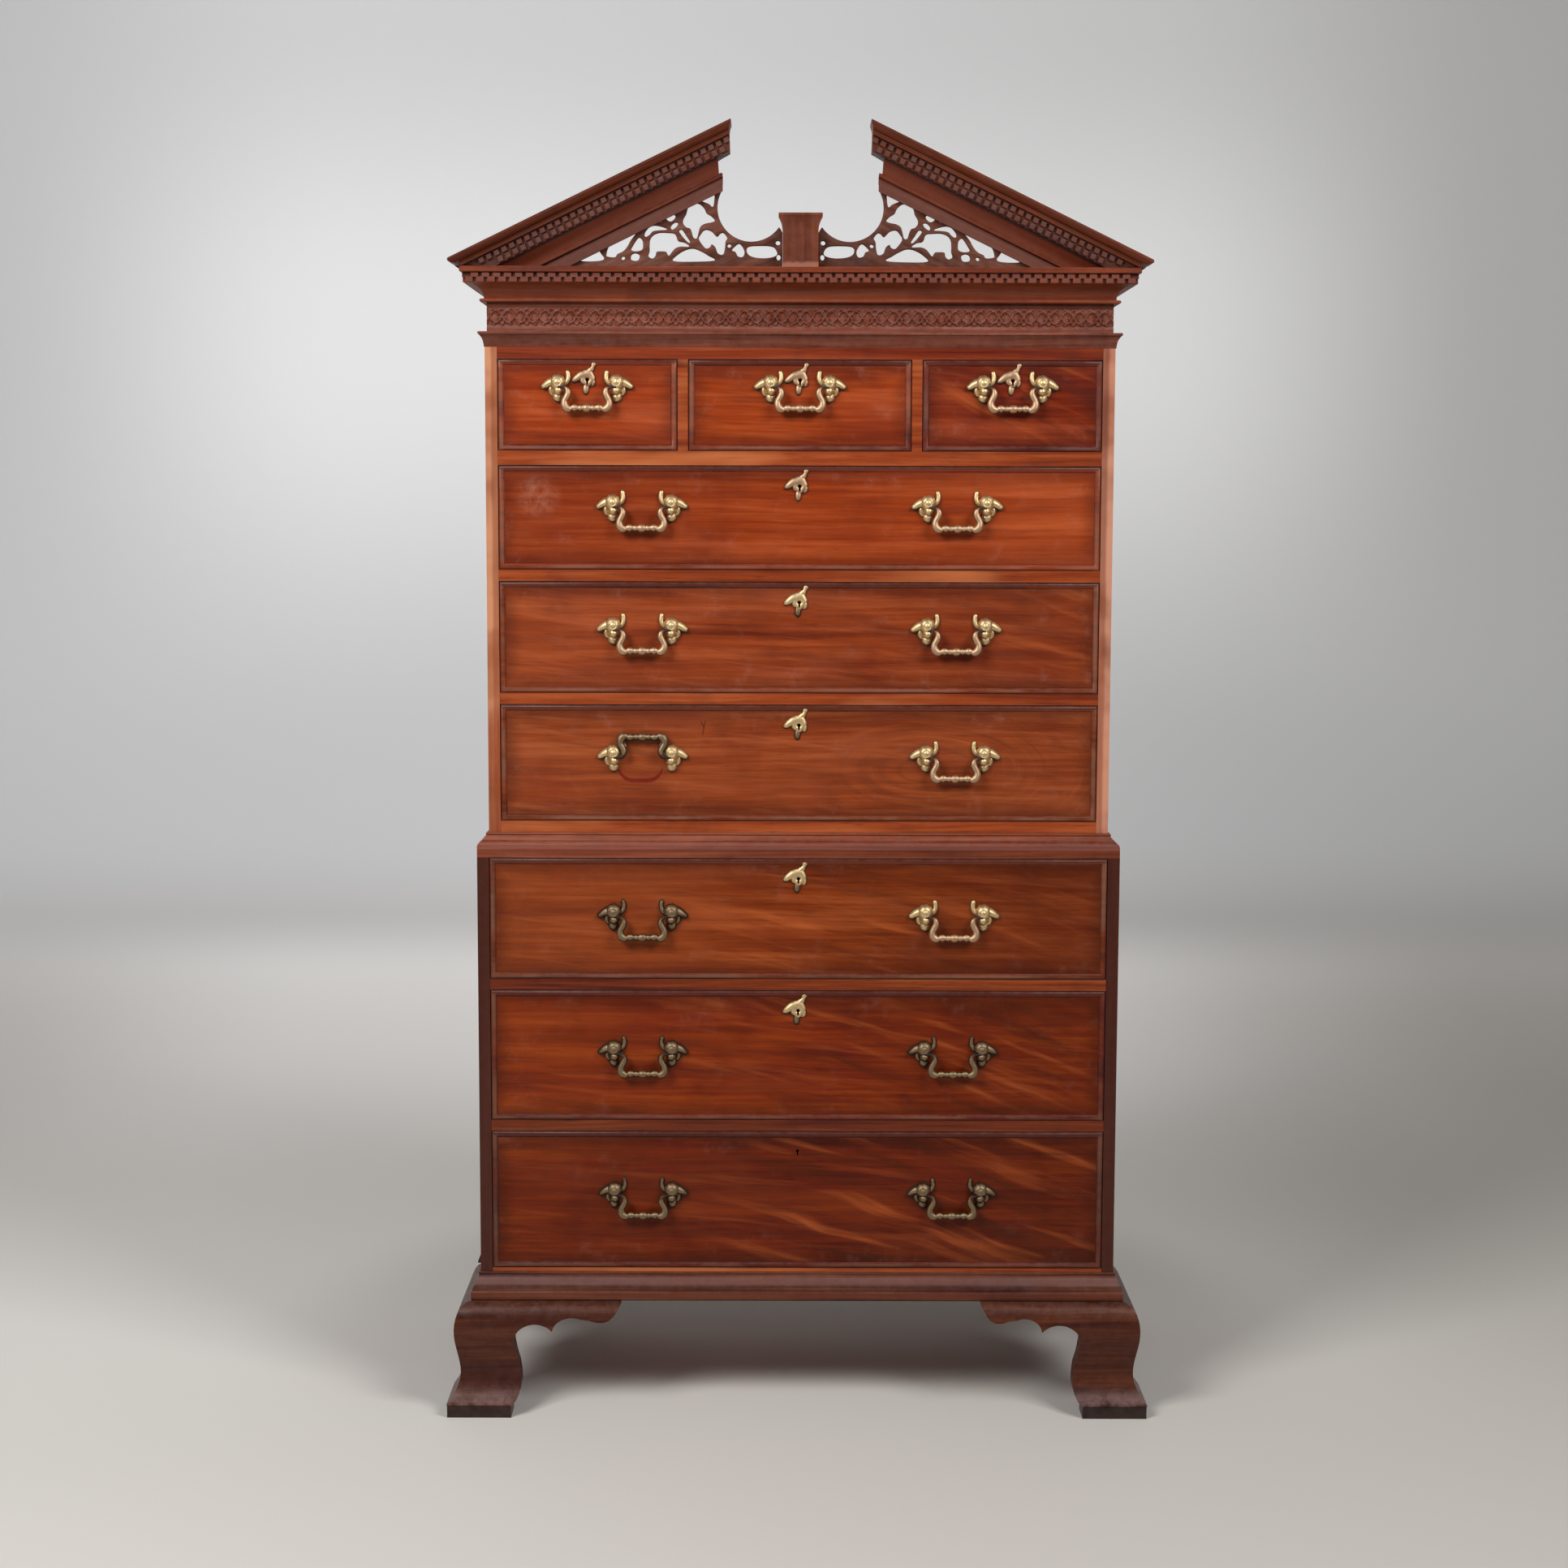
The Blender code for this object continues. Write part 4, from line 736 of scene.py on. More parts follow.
# %% Nine drawer fronts
LOOKS = {
    # dark, middle and light tones as a screen shows them, then how the figure runs and where the marks are
    "short_left": ((104, 38, 20), (148, 58, 30), (172, 82, 46), {}),
    "short_middle": ((100, 36, 18), (142, 55, 28), (168, 78, 42), dict(flame=0.3, start=-0.4, slope=0.15)),
    "short_right": ((78, 25, 15), (120, 44, 27), (156, 70, 42), dict(flame=0.9, start=0.10, slope=0.45)),
    "long_1": ((98, 34, 16), (142, 56, 28), (170, 80, 44),
               dict(flame=0.35, start=0.10, slope=0.05, lean=-0.25, haze=(-0.446, 1.590))),
    "long_2": ((88, 34, 18), (136, 58, 32), (166, 84, 50),
               dict(flame=0.75, start=-0.10, slope=0.26, lean=0.28)),
    "long_3": ((90, 38, 20), (134, 60, 34), (164, 86, 50),
               dict(lean=0.18, swirl=(0.22, 1.125), crack=(-0.163, 1.196), rub=(-0.272, 1.105))),
    "long_4": ((80, 30, 14), (124, 54, 28), (154, 78, 44),
               dict(flame=1.0, start=-0.35, slope=0.26, lean=0.45)),
    "long_5": ((72, 25, 6), (114, 42, 11), (148, 66, 26),
               dict(flame=1.0, start=-0.35, slope=0.28, lean=0.30)),
    "long_6": ((62, 23, 6), (100, 38, 11), (132, 58, 24),
               dict(flame=0.9, start=-0.25, slope=0.30, lean=0.22)),
}
# The keyhole's bottom is painted near black: painted shade for the dark inside the lock.
hole_dark = Finish("keyhole_dark", Roughness=0.8)
shade_speckle = hole_dark.noise(hole_dark.place(), 900.0, 2.0)
hole_dark.give("Base Color", hole_dark.ramp(shade_speckle, [(0.3, paint(8, 5, 4)), (0.7, paint(24, 14, 10))]))

for number, drawer in enumerate(DRAWERS):
    corner_low, corner_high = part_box(drawer + "_front")
    low, high = (corner_low.x, corner_low.z), (corner_high.x, corner_high.z)
    *shown, way = LOOKS[drawer]
    tones = [paint(*tone) for tone in shown]
    field = front_timber(drawer + "_timber", low, high, tones, 10.0 + 1.7 * number, **way)
    bead = bead_timber(drawer + "_bead", low, high, shade(shown[1], 0.80), 30.0 + number)
    eye = (keyhole_x(drawer), DRAWERS[drawer][2])
    solid = front_skin(low, high, eye, front_of(drawer))
    make(drawer + "_drawer_front", [solid], [field, bead, hole_dark.material], drawer + "_drawer",
         [drawer + "_front"])

# %% [markdown]
# ## Brass
# The mounts are cast brass, chased and once gilded: a shell-like dome over the bail's pin, a beak
# outwards, a horn up the inner side and a leaf below. Each leaf is an ellipse carried along a smooth line,
# its width and height given at the knots, with the lower half sunk flat in the wood. The dome is a profile
# turned about an axis, with shallow flutes. Every point also keeps how far up the relief it is, because
# gilding survives on the crests and goes first in the hollows, and a finish can read that as an attribute.

# %% Leaves, domes and bars
def carried(line, widths, heights, front, base=0.0, around=14, flat=True):
    """An ellipse along a line in the x-z plane: place + across * w cos t, and out by base + h sin t."""
    step = np.gradient(line, axis=0)
    step /= np.linalg.norm(step, axis=1, keepdims=True)
    across = np.column_stack([-step[:, 1], step[:, 0]])
    t = np.linspace(0, 2 * math.pi, around, endpoint=False)
    c, s = np.cos(t), np.sin(t)
    rise = heights[:, None] * s[None, :]
    reach = base + (np.where(s > 0, rise, 0.0006 * s) if flat else rise)
    flat_places = line[:, None, :] + across[:, None, :] * (widths[:, None] * c[None, :])[..., None]
    rows = np.stack([flat_places[..., 0], front - reach, flat_places[..., 1]], -1)
    crest = np.clip(rise / max(heights.max(), 1e-6), 0, 1).ravel()
    return rows, crest


def leaf(knots, centre, front, side=1.0, tint=0):
    """A leaf from knots in mm: (out, up, half width, height), about a centre, on the left or right side."""
    line = through(knots, 5)
    places = np.column_stack([centre[0] + side * line[:, 0] / 1000, centre[1] + line[:, 1] / 1000])
    rows, crest = carried(places, line[:, 2] / 1000, line[:, 3] / 1000, front)
    return (*skin(rows, tint), crest)


def dome(profile, centre, front, flutes=0, depth=0.0, tint=0, around=28):
    """(radius, reach) in mm turned about an axis square to the front; radius * (1 + depth cos(flutes t))."""
    r, reach = np.array(profile).T / 1000
    t = np.linspace(0, 2 * math.pi, around, endpoint=False)
    fade = np.clip(r / r.max(), 0, 1)[:, None]
    radius = r[:, None] * (1 + depth * fade * np.cos(flutes * t)[None, :])
    rows = np.stack([centre[0] + radius * np.cos(t), np.repeat(front - reach[:, None], around, 1),
                     centre[1] + 1.04 * radius * np.sin(t)], -1)
    crest = np.repeat(np.clip(reach / reach.max(), 0, 1) ** 0.6, around)
    return (*skin(rows, tint), crest)


print("a leaf has", len(leaf([(0, 0, 3, 3), (5, 5, 3, 3), (9, 5, 1, 1)], (0, 0), 0)[0]), "points")

# %% [markdown]
# A founder keeps a pattern and casts from it again and again. So here a mount is a table of knots that every
# handle reads, and the left and the right mount of a handle mirror each other.

# %% Mounts
BOSS = [(11.6, -0.4), (13.2, 0.4), (13.6, 1.8), (12.8, 3.0), (12.4, 4.0), (12.9, 6.0), (12.6, 9.0),
        (11.4, 12.2), (9.0, 15.0), (6.4, 16.6), (5.4, 16.2), (4.4, 16.4), (2.6, 17.8), (0.6, 18.2)]
SMALL_BOSS = [(7.6, -0.4), (9.6, 0.6), (9.4, 4.0), (8.2, 9.0), (6.2, 13.6), (3.2, 16.2), (0.5, 17.0)]
MOUNT_LEAVES = [
    # beak, horn, shoulder and drop
    [(3, 9.4, 8.0, 12), (10, 8.4, 8.8, 12.2), (16.5, 5.6, 7.6, 11), (22.0, 2.0, 6.2, 9.2),
     (26.2, -0.6, 4.8, 7), (28.2, -1.8, 1.4, 2)],
    [(-8, 4, 4.6, 6), (-14.0, 8, 4.6, 6.2), (-17.2, 14, 4.6, 5.6), (-17.4, 21, 4.5, 4.8),
     (-16.2, 26.4, 3.9, 4.0), (-15.4, 29.4, 1.0, 1.4)],
    [(8, 3, 4.0, 5), (11.5, -1.5, 4.8, 6.8), (11.4, -7.5, 4.6, 6.6), (8.6, -12.5, 3.8, 5.2),
     (6.8, -15.0, 1.0, 1.4)],
    [(0.5, -7, 6.0, 6), (0.6, -12, 8.4, 8.6), (0.2, -17.5, 9.0, 9.2), (-0.4, -22.2, 7.0, 7.2),
     (-0.8, -26.2, 2.0, 2.4)],
]


def mount(x, pivot, front, side, tint):
    """One end of a handle: a boss over a smaller one, a beak, a horn, a shoulder and a drop."""
    bosses = [dome(BOSS, (x, pivot + 0.0082), front, 9, 0.045, tint),
              dome(SMALL_BOSS, (x - side * 0.0008, pivot - 0.0056), front, 5, 0.07, tint, 18)]
    return bosses + [leaf(knots, (x, pivot), front, side, tint) for knots in MOUNT_LEAVES]


print("points of a mount", sum(len(solid[0]) for solid in mount(0.0, 0.0, 0.0, 1, 0)))

# %% [markdown]
# The escutcheon is lopsided: a shell with the keyhole through it, and four leaves about it. The shell closes
# on itself, from the keyhole over the crest to the rim and back below. `make_brass` is `make` with one thing
# more, the height of each point in the relief.

# %% Escutcheons
SHELL_LEVELS = [
    # share of the way from the keyhole to the rim, and height in metres
    (0.0, -0.0004), (0.0, 0.0030), (0.10, 0.0042), (0.35, 0.0052), (0.65, 0.0050),
    (0.86, 0.0036), (0.97, 0.0020), (1.0, 0.0008), (1.0, -0.0004),
]
ESCUTCHEON_LEAVES = [
    # horn up the right, beak to the left, drop below, and a small leaf on the right
    [(2, 12, 6.4, 4.6), (6.4, 16.6, 5.4, 4.4), (9.2, 21.0, 3.6, 3.8), (10.8, 25.6, 5.0, 3.4),
     (11.4, 29.0, 4.4, 2.8), (11.8, 31.8, 1.6, 1.2)],
    [(-3, 9, 8.0, 5.4), (-10, 7.0, 7.8, 6.4), (-16.0, 3.2, 6.8, 6.4), (-21, -0.6, 5.6, 5.4),
     (-24.6, -2.8, 3.8, 3.6), (-26.6, -3.8, 1.4, 1.6)],
    [(-1, -8.5, 5.6, 3.4), (-2.2, -14, 5.6, 4.4), (-2.6, -19.0, 5.2, 4.4), (-2.4, -23.0, 4.0, 3.2),
     (-2.2, -25.8, 1.2, 1.2)],
    [(7, 2, 3.6, 4.0), (10.6, -3.0, 3.4, 4.4), (9.6, -8.4, 3.2, 3.8), (6.0, -11.6, 1.0, 1.4)],
]


def shell(x, eye, front, tint, around=40):
    """Rings from the keyhole out to a rim with five waves, and back to the first one along the wood."""
    t = np.linspace(0, 2 * math.pi, around, endpoint=False)
    direction = np.column_stack([np.cos(t), np.sin(t)])
    hole = 1.06 * keyhole_reach(t)[:, None] * direction
    waves = (1 + 0.05 * np.cos(5 * t + 0.6))[:, None]
    rim = np.array([0.0, 0.0032]) + np.array([0.0134, 0.0152]) * direction * waves
    rings = []
    for share, height in SHELL_LEVELS:
        p = hole + share * (rim - hole)
        rings.append(np.column_stack([x + p[:, 0], np.full(around, front - height), eye + p[:, 1]]))
    count = len(rings) * around
    quads = net(len(rings) + 1, around)
    quads = np.where(quads >= count, quads - count, quads)
    crest = np.repeat(np.clip(np.array(SHELL_LEVELS)[:, 1] / 0.005, 0, 1), around)
    return (*outward(np.vstack(rings), [(quads, tint)]), crest)


def escutcheon(x, eye, front, tint):
    """The shell and its four leaves. Under a gilt shell the drop is dark bronze."""
    tints = (tint, tint, 1 if tint else 2, tint)
    leaves = [leaf(knots, (x, eye), front, 1, each) for knots, each in zip(ESCUTCHEON_LEAVES, tints)]
    return [shell(x, eye, front, tint), *leaves]


def make_brass(name, solids, finishes, body, stands_for=()):
    """As make, and keeps each point's place in the relief in the attribute 'crest'."""
    plain = [(points, groups) for points, groups, _ in solids]
    thing = make(name, plain, finishes, body, stands_for, 50)
    crest = thing.data.attributes.new("crest", "FLOAT", "POINT")
    crest.data.foreach_set("value", np.concatenate([c for _, _, c in solids]).astype(np.float32))
    return thing


print("points of an escutcheon", sum(len(solid[0]) for solid in escutcheon(0.0, 0.0, 0.0, 0)))

# %% [markdown]
# Gilded brass is a metal, so its colour is in its reflections. On the upper mounts the crests are bright,
# pale gold and the hollows are brown with old polish. Further down the gilding has gone and the metal is a
# dark bronze. One function makes every stage from how much gilding is left, and every stage also paints
# shade on what faces down, which it makes duller and darker.

# %% Brass finishes
def brass(name, bright, dull, grime, kept, roughness):
    """kept is the share of the relief, from the top, that still shines. What faces down gets painted shade,
    duller and darker.
    """
    finish = Finish(name, Metallic=1.0, Specular_IOR_Level=0.5)
    crest = finish.node("ShaderNodeAttribute", {"attribute_name": "crest"}, output="Fac")
    worn = finish.noise(finish.place(), 160.0, 4.0, 0.65)
    fine = finish.noise(finish.place(), 700.0, 3.0, 0.6)
    # Painted shade: faces that look down are pushed down the relief, so they turn dull and dark like the
    # hollows.
    normal = finish.node("ShaderNodeNewGeometry", output="Normal")
    under = finish.rise(finish.axes(normal)[2], 0.05, -0.75)
    height = crest + 0.5 * (worn - 0.5) + 0.16 * (fine - 0.5) - 0.34 * under
    colour = finish.mix(finish.rise(height, 0.85 - kept, 1.05 - kept), dull, bright)
    grime_and_shade = finish.rise(height, 0.56 - 0.3 * kept, 0.06)
    finish.give("Base Color", finish.mix(0.9 * grime_and_shade, colour, grime))
    finish.give("Metallic", 1.0 - 0.75 * grime_and_shade)
    finish.give("Roughness", roughness + 0.30 * grime_and_shade + 0.12 * (fine - 0.5))
    finish.bump(worn + 0.5 * fine, 0.35, 0.0006)
    return finish.material


gilt = brass("gilt_brass", paint(214, 186, 140), paint(160, 130, 94), paint(46, 30, 20), 0.60, 0.50)
worn_gilt = brass("worn_brass", paint(190, 156, 124), paint(130, 98, 74), paint(38, 24, 18), 0.45, 0.52)
bronze = brass("dark_bronze", paint(138, 116, 90), paint(84, 64, 46), paint(28, 19, 14), 0.30, 0.52)
BRASSES = [gilt, worn_gilt, bronze]
WORN_SHELLS = {"short_left", "short_middle", "short_right", "long_1"}
BRONZE_MOUNTS = {"long_4_left", "long_5_left", "long_5_right", "long_6_left", "long_6_right"}
# from the middle of a handle to either of its mounts
POST = 0.0497

for drawer, (_, pivot, eye) in DRAWERS.items():
    front = front_of(drawer)
    solids = []
    for handle, x in handles_of(drawer):
        for side in (-1, 1):
            solids += mount(x + side * POST, pivot, front, side, 2 if handle in BRONZE_MOUNTS else 0)
    if drawer != "long_6":
        solids += escutcheon(keyhole_x(drawer), eye, front, int(drawer in WORN_SHELLS))
    make_brass(drawer + "_mounts", solids, BRASSES, drawer + "_drawer")

# %% [markdown]
# ## Bails
# A bail is a swan-necked bar whose pins turn in the mounts. It is one circle carried along the whole line,
# from pin to pin, growing into knuckles at the corners and into beads and a bulb along the grip. All hang
# at rest but one, which stands up against its drawer.

# %% Bails
HALF_BAIL = [
    # from the left pin to the middle of the grip: x, height and half thickness in mm
    (-49.5, 0, 1.7), (-43.0, 0, 1.9), (-38.6, -0.6, 2.6), (-34.4, -2.4, 4.0), (-32.0, -6.5, 5.0),
    (-31.8, -11.6, 5.6), (-34.2, -17.2, 5.8), (-37.0, -22.4, 5.8), (-37.8, -27.4, 6.4), (-36.8, -32.2, 6.9),
    (-33.4, -35.8, 7.0), (-29.2, -36.6, 6.4), (-26.0, -36.0, 5.1), (-23.4, -35.2, 6.0), (-20.4, -34.9, 6.6),
    (-17.2, -35.0, 5.6), (-14.0, -35.3, 5.1), (-10.4, -35.4, 5.8), (-7.2, -35.4, 5.1), (-4.6, -35.3, 6.4),
]
RAISED = "long_3_left"
# The raised bail is given the dark bronze too: painted shade, for the shadow it stands in.
BRONZE_BAILS = BRONZE_MOUNTS | {RAISED}
# how far the pins are in front of the drawer
PIN_REACH = 0.015


def bail(x, pivot, front, raised, tint, around=12):
    """A closed bar about its pins' axis, turned half round and 8 degrees on when it is raised."""
    other_half = [(-a, b, c) for a, b, c in HALF_BAIL[::-1]]
    line = through(HALF_BAIL + [(0, -35.3, 7.2)] + other_half, 4)
    middle, thick = line[:, :2] / 1000, line[:, 2] / 1000
    rows, _ = carried(middle, thick, thick, 0.0, around=around, flat=False)
    t = np.linspace(0, 2 * math.pi, around, endpoint=False)
    # A bail's crest is painted light: the side that faces out is bright and its back dark in either pose, and
    # the thicker beads a little brighter.
    facing = -np.sin(t) if raised else np.sin(t)
    swell = np.repeat(0.24 * (line[:, 2] - 5.8), around)
    crest = np.tile(0.22 + 0.70 * np.clip(facing, 0, 1) ** 0.7, len(line)) + swell
    if raised:
        a = -math.radians(188)
        y, z = rows[..., 1].copy(), rows[..., 2].copy()
        rows[..., 1] = y * math.cos(a) - z * math.sin(a)
        rows[..., 2] = y * math.sin(a) + z * math.cos(a)
    rows += np.array([x, front - PIN_REACH, pivot])
    return (*skin(rows, tint), np.clip(crest, 0, 1))


for drawer, (_, pivot, _) in DRAWERS.items():
    for handle, x in handles_of(drawer):
        tint = 2 if handle in BRONZE_BAILS else 1
        solid = bail(x, pivot, front_of(drawer), handle == RAISED, tint)
        make_brass(handle + "_swan_bail", [solid], BRASSES, handle + "_swing_bail", [handle + "_bail"])

# %% [markdown]
# ## Mouldings
# A moulding is planed in one length, then mitred round three sides of the chest. So it is one profile at
# four stations: back left, front left mitre, front right mitre and back right. A point that reaches p
# beyond the chest goes p sideways and p forwards, which is what makes the mitre.

# %% Neck, waist and base mouldings
def moulding(profile, half, front, back, tint=0):
    """Points (reach p, height) at (-half - p, back) and (-half - p, front - p), and the same on the right."""
    p, z = np.asarray(profile, float).T
    stations = [(-half - p, np.full_like(p, back)), (-half - p, front - p), (half + p, front - p),
                (half + p, np.full_like(p, back))]
    return skin(np.array([np.column_stack([x, y, z]) for x, y in stations]), tint)


def waist_profile():
    """A fillet, a cyma that curls back over the lower chest's edge, and a small bead at the top."""
    z, rise, inner = WAIST_TOP, 0.0227, -0.0187
    cyma = through([(-0.0006, z + 0.0022), (-0.0022, z + 0.0044), (-0.0062, z + 0.0076),
                    (-0.0102, z + 0.0108), (-0.0126, z + 0.0142), (-0.0146, z + 0.0172)], 4)
    bead = arc((-0.0162, z + 0.0198), (0.0022, 0.0022), -70, 90, 8)
    return np.vstack([[(inner, z - 0.001), (-0.0006, z - 0.001)], cyma, bead,
                      [(-0.0172, z + rise), (inner, z + rise)]])


def base_profile():
    """A square fillet over the feet, a hollow and a swell up to the chest's side."""
    z, r = FOOT_TOP, 0.016
    hollow = through([(0.90 * r, z + 0.0162), (0.86 * r, z + 0.0196), (0.70 * r, z + 0.0252),
                      (0.46 * r, z + 0.0330), (0.26 * r, z + 0.0388), (0.16 * r, z + 0.0424)], 4)
    fillet = arc((r - 0.0012, z + 0.0012), (0.0012, 0.0012), -60, 0, 3)
    bead = arc((0.0012, z + 0.0456), (0.0024, 0.0024), -40, 90, 5)
    return np.vstack([[(-0.050, z), (r - 0.0006, z)], fillet, [(r, z + 0.0136), (r - 0.0006, z + 0.0145)],
                      hollow, bead, [(GAP, z + 0.048), (GAP, LOWER_BOTTOM), (-0.050, LOWER_BOTTOM)]])


def neck_profile():
    """A small hollow that swells out to a square edge under the frieze."""
    z, out, r = NECK + GAP, 0.0047, NECK_REACH
    hollow = through([(out, z), (out + 0.0006, z + 0.0050), (out + 0.0020, z + 0.0110),
                      (out + 0.0044, z + 0.0158), (r - 0.0022, z + 0.0196)], 4)
    return np.vstack([[(-0.001, z)], hollow, [(r - 0.0022, z + 0.0206), (r, z + 0.0210),
                      (r, NECK_TOP - 0.0006), (r - 0.0006, NECK_TOP), (-0.001, NECK_TOP)]])


print("points of the profiles", len(waist_profile()), len(base_profile()), len(neck_profile()))

# %% [markdown]
# Light lies grey on the swells of a moulding and shade dark in its quirks, always at the same heights, and
# both are painted here: a list of heights is enough, each entry a soft line round the chest.

# %% Waist board and base frame
def painted_light_lines(levels):
    """Soft lines round the chest, mostly painted light: shade dark in the quirks, a grey-red sheen on the
    swells. Each is (height, half width, share, colour).
    """

    def painted(finish, colour):
        z = finish.axes(finish.place())[2]
        for height, half, share, tone in levels:
            line = finish.rise((z - height).size(), half, 0.45 * half)
            colour = finish.mix(share * line, colour, paint(*tone))
        return colour

    return painted


WAIST_LINES = [(0.9930, 0.0080, 0.30, (142, 92, 86)), (1.0010, 0.0016, 0.60, (66, 26, 20)),
               (0.9862, 0.0010, 0.50, (70, 30, 24)), (1.0112, 0.0011, 0.50, (80, 32, 24))]
BASE_LINES = [(0.2300, 0.0085, 0.45, (122, 84, 80)), (0.2205, 0.0020, 0.65, (44, 20, 15)),
              (0.2066, 0.0060, 0.35, (116, 54, 34)), (0.1985, 0.0016, 0.60, (40, 18, 13))]
top_board = block((-LOWER_HALF, LOWER_FRONT, WAIST), (LOWER_HALF, BACK, WAIST_TOP))
waist_wood = mahogany("waist_mahogany", paint(86, 40, 30), paint(120, 60, 43), paint(150, 84, 62), "run", 8.0,
                      dust=0.12, roughness=0.38, add=painted_light_lines(WAIST_LINES))
base_wood = mahogany("base_mahogany", paint(54, 24, 15), paint(86, 44, 31), paint(112, 66, 50), "run", 9.0,
                     dust=0.12, roughness=0.38, add=painted_light_lines(BASE_LINES))
waist = [top_board, moulding(waist_profile(), LOWER_HALF, LOWER_FRONT, BACK - 0.001)]
make("waist_board", waist, [waist_wood], "carcase", ["lower_top_board"])
base = [moulding(base_profile(), LOWER_HALF, LOWER_FRONT, BACK)]
make("base_frame", base, [base_wood], "carcase", ["base_moulding"])

# %% [markdown]
# ## The frieze
# The frieze is carved with a blind fret: bands that cross and pass over each other, standing a few
# millimetres above a sunk ground. The carving is a height worked out at every point of a fine grid. Each
# band is a wavy line, and the height is a flat-topped ridge about it; the highest band wins, which makes
# them cross.

# %% Carved frieze
def ridge(distance, half, height):
    """A flat-topped ridge with soft shoulders: height / (1 + e to (distance - half) / (0.18 half))."""
    return height / (1 + np.exp((np.abs(distance) - half) / (0.18 * half)))


def fret_relief(x, z):
    """Two chains of waves that cross, a finer pair between them, and a plain band along either edge."""
    period, tall = 0.0420, 0.0165
    a = 2 * math.pi * x / period
    wave, fine_wave = 0.62 * tall * np.sin(a), 0.80 * tall * np.cos(1.5 * a)
    bands = [ridge(z - wave, 0.0016, 0.0034), ridge(z + wave, 0.0016, 0.0034),
             ridge(z - fine_wave, 0.0014, 0.0030), ridge(z + fine_wave, 0.0014, 0.0030),
             ridge(np.abs(z) - tall - 0.0045, 0.0040, 0.0030), ridge(np.abs(z) - 0.0245, 0.0035, 0.0030)]
    return np.max(bands, axis=0)


def carved_board(half, low, high, front, behind, relief, across, tall):
    """A board with a carved face: the grid pushed out of a sunk ground, with a flat rim and back."""
    x, z = np.meshgrid(np.linspace(-half, half, across), np.linspace(low, high, tall))
    face = np.stack([x, front + 0.0030 - relief(x, z - (low + high) / 2), z], -1)
    around = np.concatenate([np.arange(across), across * np.arange(1, tall) + across - 1,
                             across * tall - 1 - np.arange(1, across), across * np.arange(tall - 2, 0, -1)])
    points = face.reshape(-1, 3)
    rear = points[around].copy()
    rear[:, 1] = behind
    count = len(around)
    ids = len(points) + np.arange(count)
    rim = np.stack([around, ids, np.roll(ids, -1), np.roll(around, -1)], 1)
    quads = net(tall, across, False)
    return outward(np.vstack([points, rear]), [(quads, 0), (rim, 0), (ids[None, ::-1], 0)])


inner_half = 0.5127 - GAP
frieze_solids = [
    carved_board(FRIEZE_HALF, NECK_TOP - 0.002, CORNICE_BOTTOM + 0.004, FRIEZE_FRONT, -0.2005,
                 fret_relief, 900, 44),
    block((-FRIEZE_HALF, -0.2010, NECK + GAP), (FRIEZE_HALF, -0.19815, CORNICE_TOP)),
    block((-FRIEZE_HALF, FRIEZE_FRONT, NECK + GAP), (FRIEZE_HALF, -0.2005, NECK_TOP - 0.001)),
    block((-FRIEZE_HALF, FRIEZE_FRONT + 0.0002, CORNICE_BOTTOM + 0.003), (FRIEZE_HALF, -0.2005, CORNICE_TOP)),
    moulding(neck_profile(), FRIEZE_HALF, FRIEZE_FRONT, BACK),
]
make("carved_frieze", frieze_solids, [dark_x], "carcase", ["frieze"])
# A darker copy of the rail timber for the strip under the neck moulding: painted shade, for the moulding's
# shadow on it.
shaded = mahogany("top_rail_mahogany", paint(80, 28, 17), paint(124, 50, 31), paint(152, 74, 48), "x", 1.6)
strip = block((-inner_half, UPPER_FRONT, TOP_ROW_TOP), (inner_half, -0.1985, NECK + 0.0001))
make("top_rail", [strip], [shaded], "carcase")

# %% [markdown]
# ## The level cornice
# From below: a bead, a deep cove, a band with two staggered rows of small blocks called dentils, and a
# fascia. Hundreds of dentils are cut from one strip, so they are made together: eight corners round every
# centre, with the outer face a little smaller, as if its edges were eased with a scraper.

# %% Cornice and dentils
def studs(centres, along, rising, out, width, height, depth, tint=0):
    """Blocks at the centres: centre + a * along + b * rising + d * out, for every sign of a and b."""
    signs = np.array([(-1, -1), (1, -1), (1, 1), (-1, 1)])
    points = []
    for share, reach in ((1.0, -0.0006), (0.99, depth - 0.0007), (0.84, depth)):
        offset = signs[:, :1] * along * width / 2 + signs[:, 1:] * rising * height / 2
        points.append(centres[:, None, :] + (offset * share + reach * out)[None])
    points = np.concatenate(points, 1)
    quads = np.vstack([net(3, 4), [[3, 2, 1, 0]], [[8, 9, 10, 11]]])
    every = (quads[None] + 12 * np.arange(len(centres))[:, None, None]).reshape(-1, 4)
    return outward(points.reshape(-1, 3), [(every, tint)])


def cornice_profile():
    """Bead, cove (a quarter ellipse), dentil ground and fascia, as (reach, height)."""
    z, top = CORNICE_BOTTOM, CORNICE_TOP
    bead = arc((0.0085, z + 0.0029), (0.0024, 0.0028), -80, 80, 8)
    cove = arc((DENTIL_GROUND - 0.0010, z + 0.0062), (DENTIL_GROUND - 0.0048, 0.0246), 180, 90, 18)
    return np.vstack([[(GAP, z)], bead, cove, [(DENTIL_GROUND, z + 0.0312), (DENTIL_GROUND, top - 0.0098),
                      (CORNICE_REACH - 0.0010, top - 0.0094), (CORNICE_REACH, top - 0.0084),
                      (CORNICE_REACH, top - 0.0010), (CORNICE_REACH - 0.0010, top), (GAP, top)]])


